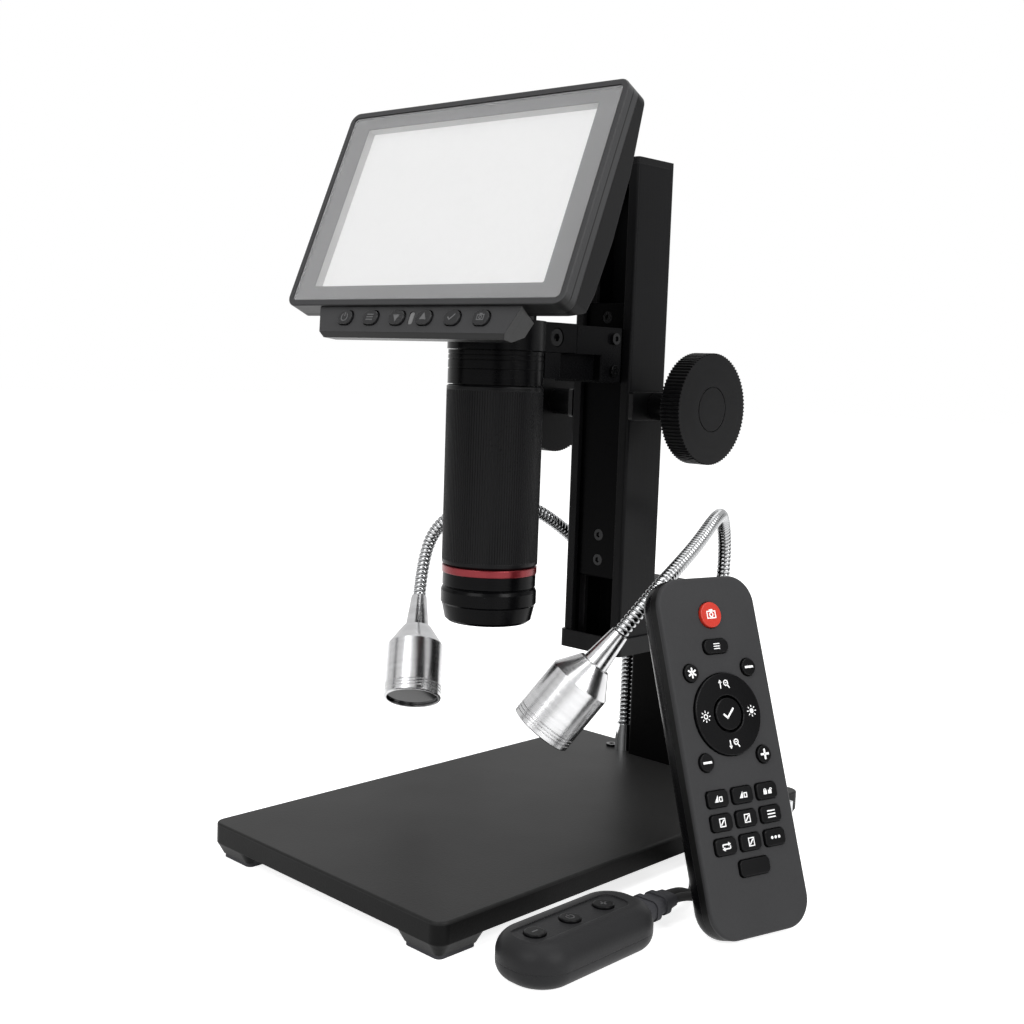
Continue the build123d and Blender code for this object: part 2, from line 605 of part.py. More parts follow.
SIDE_SCREW_Y = 51.0
SIDE_SCREW_HEIGHTS = (166.7, 178.8)
ARM_BOLT_HEAD = 3.5
ARM_BOLT_SEAT = 52.0
with BuildPart() as arm_bracket:
    with BuildSketch(Plane.XY.offset(ARM_BOTTOM)):
        with Locations((0, (ARM_FRONT + ARM_BACK) / 2)):
            Rectangle(ARM_WIDTH, ARM_BACK - ARM_FRONT)
    extrude(amount=ARM_HEIGHT)
    with BuildSketch(Plane.XY.offset(LEG_BOTTOM)):
        with Locations((0, (ARM_LEG_FRONT + ARM_BACK) / 2)):
            Rectangle(ARM_WIDTH, ARM_BACK - ARM_LEG_FRONT)
    extrude(amount=ARM_LEG_DROP)
    chamfer(arm_bracket.edges().filter_by(Axis.Z), 0.6)
    with BuildSketch(Plane.XY.offset(LEG_BOTTOM)):
        with Locations((0, (ARM_BACK + BAR_FRONT) / 2)):
            Rectangle(ARM_NECK_WIDTH, BAR_FRONT - ARM_BACK)
    extrude(amount=ARM_TOP - LEG_BOTTOM)
    with BuildSketch(Plane.XY.offset(LEG_BOTTOM + 0.8)):
        with Locations((0, (SADDLE_BACK + ARM_LEG_FRONT) / 2)):
            Rectangle(WEB_WIDTH, ARM_LEG_FRONT - SADDLE_BACK)
        with Locations((0, (SADDLE_FRONT + SADDLE_BACK) / 2)):
            Rectangle(ARM_WIDTH, SADDLE_BACK - SADDLE_FRONT)
        Circle(COLLAR_RADIUS + GAP, mode=Mode.SUBTRACT)
    extrude(amount=ARM_LEG_DROP - 0.8)
    with BuildSketch(FRONT_PLANE):
        with Locations(*[(side * ARM_SCREW_X, height) for side in (-1, 1) for height in ARM_SCREW_HEIGHTS]):
            Circle(1.3)
    extrude(amount=10, mode=Mode.SUBTRACT)
    bolt_height = ARM_TOP - ARM_HEIGHT / 2
    with BuildSketch(FRONT_PLANE):
        with Locations((0, bolt_height)):
            Circle(SCREW_HOLE)
    extrude(amount=BAR_FRONT - ARM_FRONT, mode=Mode.SUBTRACT)
    with BuildSketch(FRONT_PLANE):
        with Locations((0, bolt_height)):
            Circle(ARM_BOLT_HEAD + 0.3)
    extrude(amount=BAR_FRONT - ARM_BOLT_SEAT, mode=Mode.SUBTRACT)
    for side in (-1, 1):
        with BuildSketch(Plane(origin=(side * ARM_WIDTH / 2, 0, 0), x_dir=(0, 1, 0), z_dir=(1, 0, 0))):
            with Locations(*[(SIDE_SCREW_Y, height) for height in SIDE_SCREW_HEIGHTS]):
                Circle(1.3)
        extrude(amount=-side * 6, mode=Mode.SUBTRACT)
PIECES["arm_bracket"] = arm_bracket

with BuildPart() as carriage_screws:
    for height in RACK_SCREW_HEIGHTS:
        seat = Plane(origin=(0, BAR_FRONT + RACK_SCREW_DEPTH, height), z_dir=(0, -1, 0))
        add(screw(seat, RACK_SCREW_HEAD, 1.4, 1.25, BAR_THICKNESS - RACK_SCREW_DEPTH + RACK_BACKING))
    for side in (-1, 1):
        for height in ARM_SCREW_HEIGHTS:
            seat = Plane(origin=(side * ARM_SCREW_X, BAR_BACK, height), z_dir=(0, 1, 0))
            add(screw(seat, RACK_SCREW_HEAD, 1.4, 1.25, BAR_THICKNESS + 9))
        for height in SIDE_SCREW_HEIGHTS:
            seat = Plane(origin=(side * ARM_WIDTH / 2, SIDE_SCREW_Y, height), z_dir=(side, 0, 0))
            add(screw(seat, 2.2, 1.3, 1.25, 5.5))
    bolt_seat = Plane(origin=(0, ARM_BOLT_SEAT, bolt_height), z_dir=(0, 1, 0))
    add(screw(bolt_seat, ARM_BOLT_HEAD, 3.0, SCREW_SHANK, ARM_BOLT_SEAT - ARM_FRONT + 4))
PIECES["carriage_screws"] = carriage_screws

# ---------------------------------------------------------------- clamp ring round the tube's neck
CLAMP_BOTTOM = COLLAR_TOP + GAP
SLIT_END = 23.0
CLAMP_SCREW_Y = 19.0
CLAMP_SCREW_HEIGHT = CLAMP_BOTTOM + CLAMP_HEIGHT / 2
CLAMP_SCREW_HEAD = 3.2
CLAMP_SCREW_SEAT = ARM_WIDTH / 2 - 3.4
CLAMP_SIDE = Plane(origin=(0, CLAMP_SCREW_Y, CLAMP_SCREW_HEIGHT), x_dir=(0, 1, 0), z_dir=(1, 0, 0))
with BuildPart() as clamp_ring:
    with BuildSketch(Plane.XY.offset(CLAMP_BOTTOM)):
        Circle(CLAMP_RADIUS)
        with Locations((0, ARM_FRONT / 2)):
            Rectangle(ARM_WIDTH, ARM_FRONT)
        Circle(NECK_RADIUS + FIT, mode=Mode.SUBTRACT)
        with Locations((0, SLIT_END / 2)):
            Rectangle(CLAMP_SLIT, SLIT_END, mode=Mode.SUBTRACT)
    extrude(amount=CLAMP_HEIGHT)
    with BuildSketch(CLAMP_SIDE):
        Circle(SCREW_HOLE)
    extrude(amount=ARM_WIDTH, both=True, mode=Mode.SUBTRACT)
    with BuildSketch(CLAMP_SIDE.offset(CLAMP_SCREW_SEAT)):
        Circle(CLAMP_SCREW_HEAD + GAP)
    extrude(amount=ARM_WIDTH, mode=Mode.SUBTRACT)
    with BuildSketch(Plane(origin=(0, ARM_FRONT, bolt_height), x_dir=(1, 0, 0), z_dir=(0, -1, 0))):
        Circle(SCREW_HOLE)
    extrude(amount=4.5, mode=Mode.SUBTRACT)
PIECES["clamp_ring"] = clamp_ring

with BuildPart() as clamp_screw:
    add(
        screw(
            CLAMP_SIDE.offset(CLAMP_SCREW_SEAT + 0.1),
            CLAMP_SCREW_HEAD,
            3.0,
            SCREW_SHANK,
            CLAMP_SCREW_SEAT + ARM_WIDTH / 2 - 1,
        )
    )
PIECES["clamp_screw"] = clamp_screw

# ---------------------------------------------------------------- optical tube
CAMERA_SHELF = COLLAR_TOP - 7.8
COLLAR_GROOVES = (1.6, 3.3, 6.5)
with BuildPart() as tube_body:
    with BuildSketch(HEAD_SIDE):
        with BuildLine():
            Polyline(
                (BORE_RADIUS, THREAD_BOTTOM),
                (THREAD_RADIUS, THREAD_BOTTOM),
                (THREAD_RADIUS, RING_BOTTOM),
                (BARREL_RADIUS, RING_BOTTOM),
                (BARREL_RADIUS, COLLAR_TOP - COLLAR_HEIGHT),
                (COLLAR_RADIUS, COLLAR_TOP - COLLAR_HEIGHT),
                (COLLAR_RADIUS, COLLAR_TOP),
                (NECK_RADIUS, COLLAR_TOP),
                (NECK_RADIUS, NECK_TOP),
                (NECK_BORE, NECK_TOP),
                (NECK_BORE, CAMERA_SHELF),
                (BORE_RADIUS, CAMERA_SHELF),
                close=True,
            )
        make_face()
        with Locations(*[(COLLAR_RADIUS, COLLAR_TOP - drop) for drop in COLLAR_GROOVES]):
            Rectangle(0.6, 0.35, mode=Mode.SUBTRACT)
    revolve(axis=TUBE_AXIS)
    with BuildSketch(HEAD_SIDE.offset(CELL_BORE)):
        with Locations((0, PIN_HEIGHT)):
            Rectangle(2 * (DRIVE_PIN + FIT), CELL_TRAVEL + 2 * (DRIVE_PIN + GAP))
    extrude(amount=BARREL_RADIUS, mode=Mode.SUBTRACT)
PIECES["tube_body"] = tube_body

with BuildPart() as focus_sleeve:
    with BuildSketch(HEAD.offset(SLEEVE_BOTTOM)):
        Circle(SLEEVE_RADIUS)
        Circle(BARREL_RADIUS + FIT, mode=Mode.SUBTRACT)
        with PolarLocations(SLEEVE_RADIUS, SLEEVE_GROOVES):
            Circle(0.3, mode=Mode.SUBTRACT)
    extrude(amount=SLEEVE_LENGTH)
PIECES["focus_sleeve"] = focus_sleeve

with BuildPart() as red_ring:
    with BuildSketch(HEAD.offset(RING_BOTTOM)):
        Circle(RED_RING_RADIUS)
        Circle(BARREL_RADIUS, mode=Mode.SUBTRACT)
    extrude(amount=RED_RING_HEIGHT)
    fillet(red_ring.edges().filter_by(GeomType.CIRCLE).group_by(SortBy.RADIUS)[-1], 0.3)
PIECES["red_ring"] = red_ring

with BuildPart() as lens_hood:
    with BuildSketch(HEAD_SIDE):
        with BuildLine():
            Polyline(
                (THREAD_RADIUS, RING_BOTTOM),
                (HOOD_RADIUS, RING_BOTTOM),
                (HOOD_RADIUS, RING_BOTTOM - 4.5),
                (HOOD_RADIUS - 0.5, RING_BOTTOM - 5),
                (HOOD_RADIUS, RING_BOTTOM - 5.5),
                (HOOD_FLARE_RADIUS, RING_BOTTOM - 6.5),
                (HOOD_FLARE_RADIUS, RING_BOTTOM - 10.8),
                (HOOD_RADIUS, RING_BOTTOM - 11.4),
                (HOOD_RADIUS - 1.2, HOOD_BOTTOM + 1),
                (HOOD_RADIUS - 2.4, HOOD_BOTTOM),
                (HOOD_MOUTH, HOOD_BOTTOM),
                (HOOD_MOUTH, HOOD_BOTTOM + 2.5),
                (BORE_RADIUS + 0.3, HOOD_BOTTOM + 6),
                (BORE_RADIUS + 0.3, THREAD_BOTTOM),
                (THREAD_RADIUS, THREAD_BOTTOM),
                close=True,
            )
        make_face()
    revolve(axis=TUBE_AXIS)
PIECES["lens_hood"] = lens_hood

with BuildPart() as lens_cell:
    with BuildSketch(HEAD.offset(CELL_BOTTOM)):
        Circle(BORE_RADIUS - FIT)
        Circle(CELL_BORE, mode=Mode.SUBTRACT)
    extrude(amount=CELL_LENGTH)
    with BuildSketch(HEAD_SIDE.offset(CELL_BORE + 1)):
        with Locations((0, PIN_HEIGHT)):
            Circle(DRIVE_PIN)
    extrude(amount=BARREL_RADIUS - CELL_BORE - 1 - 0.2)
PIECES["lens_cell"] = lens_cell

LENS_EDGE = 2.0
LENS_BULGE = 1.2
with BuildPart() as objective_lenses:
    for bottom in (CELL_BOTTOM + 1.5, CELL_BOTTOM + CELL_LENGTH - 6):
        with BuildSketch(HEAD_SIDE):
            with BuildLine():
                Polyline((0, bottom), (0, bottom + LENS_EDGE + LENS_BULGE))
                ThreePointArc(
                    (0, bottom + LENS_EDGE + LENS_BULGE),
                    (CELL_BORE * 0.55, bottom + LENS_EDGE + LENS_BULGE * 0.7),
                    (CELL_BORE - FIT, bottom + LENS_EDGE),
                )
                Polyline((CELL_BORE - FIT, bottom + LENS_EDGE), (CELL_BORE - FIT, bottom), (0, bottom))
            make_face()
        revolve(axis=TUBE_AXIS)
PIECES["objective_lenses"] = objective_lenses

BOARD_THICKNESS = 1.6
with BuildPart() as camera_board:
    with BuildSketch(HEAD.offset(CAMERA_SHELF - BOARD_THICKNESS)):
        Circle(BORE_RADIUS - FIT)
    extrude(amount=BOARD_THICKNESS)
    with BuildSketch(HEAD.offset(CAMERA_SHELF - BOARD_THICKNESS)):
        Rectangle(10, 10)
    extrude(amount=-1.5)
    with BuildSketch(HEAD.offset(CAMERA_SHELF)):
        Rectangle(8, 4)
    extrude(amount=3)
PIECES["camera_board"] = camera_board

# ---------------------------------------------------------------- screen
GLASS_WIDTH = FRAME_WIDTH - 2 * FRAME_RIM
GLASS_HEIGHT = FRAME_HEIGHT - 2 * FRAME_RIM
CHIN_TOP = -FRAME_HEIGHT / 2
CHIN_BOTTOM = CHIN_TOP - CHIN_DROP
BUTTON_ROW = CHIN_TOP - 4.2
BUTTON_PLACES = [((k - 2.5) * BUTTON_PITCH, BUTTON_ROW) for k in range(6)]
LED_SIZE = (2.2, 4.6)
CHIN_FACE = -CHIN_SETBACK
BOARD_FRONT = -(FRAME_DEPTH + 0.9)

with BuildPart() as screen_frame:
    with BuildSketch(SCREEN_SIDE):
        with BuildLine():
            Polyline(
                (CHIN_FACE, CHIN_TOP),
                (CHIN_FACE, CHIN_BOTTOM + 2.2),
                (CHIN_FACE - 2.8, CHIN_BOTTOM),
                (CHIN_FACE - 4.0, CHIN_BOTTOM),
                (CHIN_FACE - CHIN_DEPTH, CHIN_BOTTOM + 6.5),
                (CHIN_FACE - CHIN_DEPTH, CHIN_TOP),
                close=True,
            )
        make_face()
    extrude(amount=CHIN_TOP_WIDTH / 2, both=True)
    with BuildSketch(SCREEN):
        flare = (CHIN_TOP_WIDTH - CHIN_BOTTOM_WIDTH) / 2 / CHIN_DROP
        with BuildLine():
            Polyline(
                (-CHIN_TOP_WIDTH / 2 - flare * 2 * CHIN_DEPTH, CHIN_TOP + 2 * CHIN_DEPTH),
                (CHIN_TOP_WIDTH / 2 + flare * 2 * CHIN_DEPTH, CHIN_TOP + 2 * CHIN_DEPTH),
                (CHIN_BOTTOM_WIDTH / 2, CHIN_BOTTOM),
                (-CHIN_BOTTOM_WIDTH / 2, CHIN_BOTTOM),
                close=True,
            )
        make_face()
    extrude(amount=-2 * CHIN_DEPTH, taper=CHIN_TAPER, mode=Mode.INTERSECT)
    with BuildSketch(SCREEN.offset(CHIN_FACE - CHIN_WALL)):
        with Locations((0, CHIN_TOP - 4)):
            Rectangle(6 * BUTTON_PITCH + 4, 8)
    extrude(amount=-CHIN_DEPTH, mode=Mode.SUBTRACT)
    with BuildSketch(SCREEN.offset(BEAD)):
        RectangleRounded(FRAME_WIDTH, FRAME_HEIGHT, FRAME_CORNER)
    extrude(amount=-(FRAME_DEPTH + BEAD))
    fillet(screen_frame.faces().sort_by(Axis(SCREEN.origin, SCREEN.z_dir))[-1].outer_wire().edges(), 0.45)
    with BuildSketch(SCREEN.offset(BEAD)):
        RectangleRounded(GLASS_WIDTH, GLASS_HEIGHT, FRAME_CORNER - FRAME_RIM)
    extrude(amount=-(GLASS_THICKNESS + BEAD), mode=Mode.SUBTRACT)
    with BuildSketch(SCREEN.offset(-GLASS_THICKNESS)):
        Rectangle(PANEL_WIDTH + 2 * FIT, PANEL_HEIGHT + 2 * FIT)
    extrude(amount=-FRAME_DEPTH, mode=Mode.SUBTRACT)
    with BuildSketch(SCREEN.offset(CHIN_FACE)):
        with Locations(*BUTTON_PLACES):
            RectangleRounded(
                BUTTON_WIDTH + 2 * BUTTON_CLEARANCE,
                BUTTON_HEIGHT + 2 * BUTTON_CLEARANCE,
                BUTTON_HEIGHT / 2,
            )
        with Locations((0, BUTTON_ROW)):
            RectangleRounded(*LED_SIZE, 0.8)
    extrude(amount=-CHIN_WALL, mode=Mode.SUBTRACT)
PIECES["screen_frame"] = screen_frame

with BuildPart() as cover_glass:
    with BuildSketch(SCREEN):
        RectangleRounded(GLASS_WIDTH - 2 * FIT, GLASS_HEIGHT - 2 * FIT, FRAME_CORNER - FRAME_RIM)
    extrude(amount=-GLASS_THICKNESS)
PIECES["cover_glass"] = cover_glass

with BuildPart() as lcd_panel:
    with BuildSketch(SCREEN.offset(-GLASS_THICKNESS)):
        Rectangle(PANEL_WIDTH, PANEL_HEIGHT)
    extrude(amount=-PANEL_THICKNESS)
PIECES["lcd_panel"] = lcd_panel

BOARD_WIDTH = 104.0
BOARD_TOP = 20.0
BOARD_BOTTOM = -30.0
BOARD_TAB_WIDTH = 76.0
with BuildPart() as main_board:
    with BuildSketch(SCREEN.offset(BOARD_FRONT)):
        with Locations((0, (BOARD_TOP + BOARD_BOTTOM) / 2)):
            Rectangle(BOARD_WIDTH, BOARD_TOP - BOARD_BOTTOM)
        with Locations((0, (BUTTON_ROW - 2.5 + BOARD_BOTTOM) / 2)):
            Rectangle(BOARD_TAB_WIDTH, BOARD_BOTTOM - BUTTON_ROW + 2.5)
    extrude(amount=-BOARD_THICKNESS)
    with BuildSketch(SCREEN.offset(BOARD_FRONT - BOARD_THICKNESS)):
        with Locations((-18, 4)):
            Rectangle(16, 16)
        with Locations((16, 6)):
            Rectangle(12, 9)
        with Locations((0, -18)):
            Rectangle(22, 6)
    extrude(amount=-1.5)
PIECES["main_board"] = main_board

SHELL_FRONT = -FRAME_DEPTH
SHELL_BACK = SHELL_FRONT - SHELL_DEPTH
HOUSING_BOTTOM = NECK_TOP
HOUSING_TOP = HOUSING_BOTTOM + NECK_HOUSING_HEIGHT
COMPONENT_CLEARANCE = 3.4  # space behind the board's front face
half_height = FRAME_HEIGHT / 2


def behind_glass(depth, height):
    """Distance behind the optical axis of a point this deep behind the glass, at a height in the frame."""
    return -SCREEN_REACH + (height - SCREEN_HEIGHT) * tan(tilt) + depth / cos(tilt)


with BuildPart() as screen_back_shell:
    with BuildSketch(SCREEN_SIDE):
        with BuildLine():
            Polyline(
                (SHELL_FRONT, -half_height),
                (SHELL_FRONT - SHELL_EDGE_BOTTOM, -half_height),
                (SHELL_FRONT - SHELL_DEPTH * 0.7, -half_height + 2.8),
                (SHELL_FRONT - SHELL_DEPTH * 0.88, -half_height + 9.8),
                (SHELL_BACK, -half_height + 28.5),
                (SHELL_FRONT - SHELL_DEPTH * 0.88, half_height - 27),
                (SHELL_FRONT - SHELL_EDGE_TOP - 0.4, half_height - 2),
                (SHELL_FRONT - SHELL_EDGE_TOP, half_height),
                (SHELL_FRONT, half_height),
                close=True,
            )
        make_face()
    extrude(amount=FRAME_WIDTH / 2, both=True)
    with BuildSketch(SCREEN.offset(SHELL_FRONT)):
        RectangleRounded(FRAME_WIDTH, FRAME_HEIGHT, FRAME_CORNER)
    extrude(amount=-SHELL_DEPTH, mode=Mode.INTERSECT)
    with BuildSketch(SCREEN.offset(SHELL_FRONT - SHELL_DEPTH * 0.6)):
        with Locations((0, -4)):
            RectangleRounded(BULGE_WIDTH, BULGE_HEIGHT, 6)
    extrude(amount=-(BULGE_DEPTH + SHELL_DEPTH * 0.4), taper=BULGE_TAPER)
    with BuildSketch(HEAD_SIDE):
        with BuildLine():
            Polyline(
                (NECK_HOUSING_BACK, HOUSING_BOTTOM),
                (NECK_HOUSING_BACK, HOUSING_BOTTOM + 15),
                (NECK_HOUSING_BACK - 8, HOUSING_TOP),
                (behind_glass(FRAME_DEPTH + SHELL_DEPTH * 0.6, HOUSING_TOP), HOUSING_TOP),
                (behind_glass(FRAME_DEPTH + SHELL_DEPTH * 0.6, HOUSING_BOTTOM), HOUSING_BOTTOM),
                close=True,
            )
        make_face()
    extrude(amount=NECK_HOUSING_WIDTH / 2, both=True)
    with BuildSketch(SCREEN.offset(SHELL_FRONT)):
        RectangleRounded(FRAME_WIDTH - 2 * SHELL_WALL, FRAME_HEIGHT - 2 * SHELL_WALL, 2.5)
    extrude(amount=-SHELL_WALL, mode=Mode.SUBTRACT)
    with BuildSketch(SCREEN.offset(SHELL_FRONT)):
        with Locations((0, (BOARD_TOP + BOARD_BOTTOM) / 2)):
            Rectangle(BOARD_WIDTH + 2, BOARD_TOP - BOARD_BOTTOM + 2)
    extrude(amount=-(SHELL_FRONT - BOARD_FRONT + COMPONENT_CLEARANCE), mode=Mode.SUBTRACT)
    with BuildSketch(SCREEN.offset(SHELL_BACK + SHELL_WALL)):
        with Locations((0, -4)):
            RectangleRounded(BULGE_WIDTH - 16, BULGE_HEIGHT - 16, 4)
    extrude(amount=-(BULGE_DEPTH - SHELL_WALL), taper=BULGE_TAPER, mode=Mode.SUBTRACT)
    with BuildSketch(HEAD.offset(HOUSING_BOTTOM)):
        Circle(NECK_BORE)
    extrude(amount=14, mode=Mode.SUBTRACT)
    with BuildSketch(SCREEN.offset(SHELL_FRONT)):
        with Locations((0, (BOARD_BOTTOM + CHIN_TOP - SHELL_WALL) / 2)):
            Rectangle(BOARD_TAB_WIDTH + 2, BOARD_BOTTOM - CHIN_TOP + SHELL_WALL)
    extrude(amount=-(SHELL_FRONT - BOARD_FRONT + BOARD_THICKNESS + GAP), mode=Mode.SUBTRACT)
PIECES["screen_back_shell"] = screen_back_shell

BUTTON_NAMES = ("power_button", "menu_button", "down_button", "up_button", "ok_button", "capture_button")
FLANGE = 0.8
for name, place in zip(BUTTON_NAMES, BUTTON_PLACES):
    with BuildPart() as button:
        with BuildSketch(SCREEN.offset(CHIN_FACE + BUTTON_PROUD)):
            with Locations(place):
                RectangleRounded(BUTTON_WIDTH, BUTTON_HEIGHT, BUTTON_HEIGHT / 2 - 0.01)
        extrude(amount=-(BUTTON_PROUD + CHIN_WALL + GAP))
        fillet(button.faces().sort_by(Axis(SCREEN.origin, SCREEN.z_dir))[-1].edges(), 0.35)
        with BuildSketch(SCREEN.offset(CHIN_FACE - CHIN_WALL - GAP)):
            with Locations(place):
                RectangleRounded(BUTTON_WIDTH + 2 * FLANGE, BUTTON_HEIGHT + 2 * FLANGE, BUTTON_HEIGHT / 2)
        extrude(amount=-1)
        with BuildSketch(SCREEN.offset(CHIN_FACE - CHIN_WALL - GAP - 1)):
            with Locations(place):
                Circle(1.4)
        extrude(amount=BOARD_FRONT + BUTTON_TRAVEL + 0.2 - (CHIN_FACE - CHIN_WALL - GAP - 1))
    PIECES[name] = button

# ---------------------------------------------------------------- gooseneck lamps
with BuildPart() as gooseneck_sockets:
    for side in (-1, 1):
        foot = Plane(origin=(side * LAMP_FOOT_X, LAMP_FOOT_Y, 0))
        with BuildSketch(foot):
            Circle(SOCKET_RADIUS)
        extrude(amount=SOCKET_HEIGHT, taper=3)
        with BuildSketch(foot):
            Circle(SPIGOT_RADIUS)
        extrude(amount=-PLATE_SKIN)
        with BuildSketch(foot.offset(1)):
            Circle(GOOSENECK_RADIUS + FIT)
        extrude(amount=SOCKET_HEIGHT, mode=Mode.SUBTRACT)
PIECES["gooseneck_sockets"] = gooseneck_sockets

LAMP_LENGTH = LAMP_CYLINDER + LAMP_CONE + LAMP_FERRULE
FERRULE_TOP_RADIUS = GOOSENECK_RADIUS + 0.45
FERRULE_BORE = 7.7
LAMP_RINGS = (2.0, 3.2, 4.4)


def lamp_plane(lens, aim):
    """Plane at the lamp's rim whose normal runs up through the lamp."""
    return Plane(origin=lens, z_dir=aim)


def lamp_head(rim):
    """Turned lamp body: cylinder, cone and ferrule, bored for the lens and the gooseneck."""
    half = Plane(origin=rim.origin, x_dir=rim.x_dir, z_dir=-rim.y_dir)
    cone_top = LAMP_CYLINDER + LAMP_CONE
    with BuildPart() as head:
        with BuildSketch(half):
            with BuildLine():
                Polyline(
                    (LAMP_RADIUS - LAMP_WALL, 0),
                    (LAMP_RADIUS - 0.3, 0),
                    (LAMP_RADIUS, 0.3),
                    (LAMP_RADIUS, LAMP_CYLINDER),
                    (FERRULE_RADIUS + 1.1, cone_top - 0.3),
                    (FERRULE_RADIUS, cone_top),
                    (FERRULE_TOP_RADIUS, LAMP_LENGTH),
                    (GOOSENECK_RADIUS, LAMP_LENGTH),
                    (GOOSENECK_RADIUS, LAMP_LENGTH - FERRULE_BORE),
                    (1.2, LAMP_LENGTH - FERRULE_BORE),
                    (1.2, LAMP_CYLINDER - 2),
                    (LAMP_RADIUS - 2, LAMP_CYLINDER - 2),
                    (LAMP_RADIUS - 2, LENS_THICKNESS + 1),
                    (LAMP_RADIUS - LAMP_WALL, LENS_THICKNESS + 1),
                    close=True,
                )
            make_face()
            with Locations(*[(LAMP_RADIUS, height) for height in LAMP_RINGS]):
                Rectangle(0.4, 0.3, mode=Mode.SUBTRACT)
        revolve(axis=Axis(rim.origin, rim.z_dir))
    return head


def lamp_lens(rim):
    """Round lens with a domed middle, seated just inside the rim."""
    with BuildPart() as lens:
        with BuildSketch(rim.offset(1)):
            Circle(LAMP_RADIUS - LAMP_WALL)
        extrude(amount=LENS_THICKNESS)
        fillet(lens.edges().group_by(Axis(rim.origin, rim.z_dir))[0], 0.6)
    return lens


left_rim, right_rim = lamp_plane(LEFT_LENS, LEFT_AIM), lamp_plane(RIGHT_LENS, RIGHT_AIM)
PIECES["lamp_head_left"], PIECES["lamp_lens_left"] = lamp_head(left_rim), lamp_lens(left_rim)
PIECES["lamp_head_right"], PIECES["lamp_lens_right"] = lamp_head(right_rim), lamp_lens(right_rim)


def gooseneck_end(rim, height):
    """Point on a lamp's own axis, at a height above its rim."""
    return tuple(rim.origin + rim.z_dir * height)


FOOT_START = 1.0 + FIT
LEFT_ROUTE = [
    (-LAMP_FOOT_X, LAMP_FOOT_Y, FOOT_START),
    (-LAMP_FOOT_X, LAMP_FOOT_Y, 52),
    (-25, 94, 82),
    (-25.5, 70, 101),
    (-28, 47, 113),
    (-42.5, 37, 112.5),
    (-59, 29.5, 103.5),
    gooseneck_end(left_rim, LAMP_LENGTH + 17),
    gooseneck_end(left_rim, LAMP_LENGTH - FERRULE_BORE),
]
RIGHT_ROUTE = [
    (LAMP_FOOT_X, LAMP_FOOT_Y, FOOT_START),
    (LAMP_FOOT_X, LAMP_FOOT_Y, 64),
    (26.5, 110.5, 94),
    (33, 98, 111),
    (43, 80, 113),
    (51, 57, 104.5),
    (57.5, 36, 98),
    gooseneck_end(right_rim, LAMP_LENGTH + 17),
    gooseneck_end(right_rim, LAMP_LENGTH - FERRULE_BORE),
]
PIECES["gooseneck_left"] = tube_along(LEFT_ROUTE, GOOSENECK_RADIUS)
PIECES["gooseneck_right"] = tube_along(RIGHT_ROUTE, GOOSENECK_RADIUS)

# ---------------------------------------------------------------- lamp controller
CONTROLLER = Plane(origin=(CONTROLLER_X, CONTROLLER_Y, FLOOR), x_dir=(0, 1, 0), z_dir=(0, 0, 1))
CONTROLLER_SPLIT = CONTROLLER_HEIGHT * 0.42
CONTROLLER_END = CONTROLLER_Y + CONTROLLER_LENGTH / 2
CONTROLLER_PLACES = [(k * CONTROLLER_PITCH - PAD_ROW_OFFSET, 0) for k in (-1, 0, 1)]
RELIEF_HEIGHT = 7.0
RELIEF_DROP = 0.4
RELIEF_ROOT = (11.0, 6.6)
CONTROLLER_ROOF = 2.5
PANEL_DIP = 0.4
CORD_SPACING = 2 * CORD_RADIUS + 1.0

with BuildPart() as controller_bottom:
    with BuildSketch(CONTROLLER):
        RectangleRounded(CONTROLLER_LENGTH, CONTROLLER_WIDTH, CONTROLLER_CORNER)
    extrude(amount=CONTROLLER_SPLIT)
    fillet(controller_bottom.faces().sort_by(Axis.Z)[0].edges(), CONTROLLER_BOTTOM_EDGE)
    with BuildSketch(CONTROLLER.offset(CONTROLLER_SPLIT)):
        RectangleRounded(
            CONTROLLER_LENGTH - 2 * CONTROLLER_WALL - 5,
            CONTROLLER_WIDTH - 2 * CONTROLLER_WALL - 5,
            CONTROLLER_CORNER - CONTROLLER_WALL - 3,
        )
    extrude(amount=-(CONTROLLER_SPLIT - CONTROLLER_WALL), mode=Mode.SUBTRACT)
PIECES["controller_bottom"] = controller_bottom

with BuildPart() as controller_top:
    with BuildSketch(CONTROLLER.offset(CONTROLLER_SPLIT)):
        RectangleRounded(CONTROLLER_LENGTH, CONTROLLER_WIDTH, CONTROLLER_CORNER)
    extrude(amount=CONTROLLER_HEIGHT - CONTROLLER_SPLIT)
    fillet(controller_top.faces().sort_by(Axis.Z)[-1].edges(), CONTROLLER_TOP_EDGE)
    with BuildSketch(CONTROLLER.offset(CONTROLLER_HEIGHT)):
        with Locations((-PAD_ROW_OFFSET, 0)):
            RectangleRounded(3 * CONTROLLER_PITCH, 2 * PAD_RADIUS + 4.4, PAD_RADIUS)
    extrude(amount=-PANEL_DIP, mode=Mode.SUBTRACT)
    with BuildSketch(CONTROLLER.offset(CONTROLLER_SPLIT)):
        RectangleRounded(
            CONTROLLER_LENGTH - 2 * CONTROLLER_WALL - 8,
            CONTROLLER_WIDTH - 2 * CONTROLLER_WALL - 8,
            CONTROLLER_CORNER - CONTROLLER_WALL - 5,
        )
    extrude(amount=CONTROLLER_HEIGHT - CONTROLLER_SPLIT - CONTROLLER_ROOF, mode=Mode.SUBTRACT)
    with BuildSketch(CONTROLLER.offset(CONTROLLER_HEIGHT)):
        with Locations(*CONTROLLER_PLACES):
            Circle(PAD_RADIUS + BUTTON_CLEARANCE)
    extrude(amount=-CONTROLLER_ROOF, mode=Mode.SUBTRACT)
PIECES["controller_top"] = controller_top

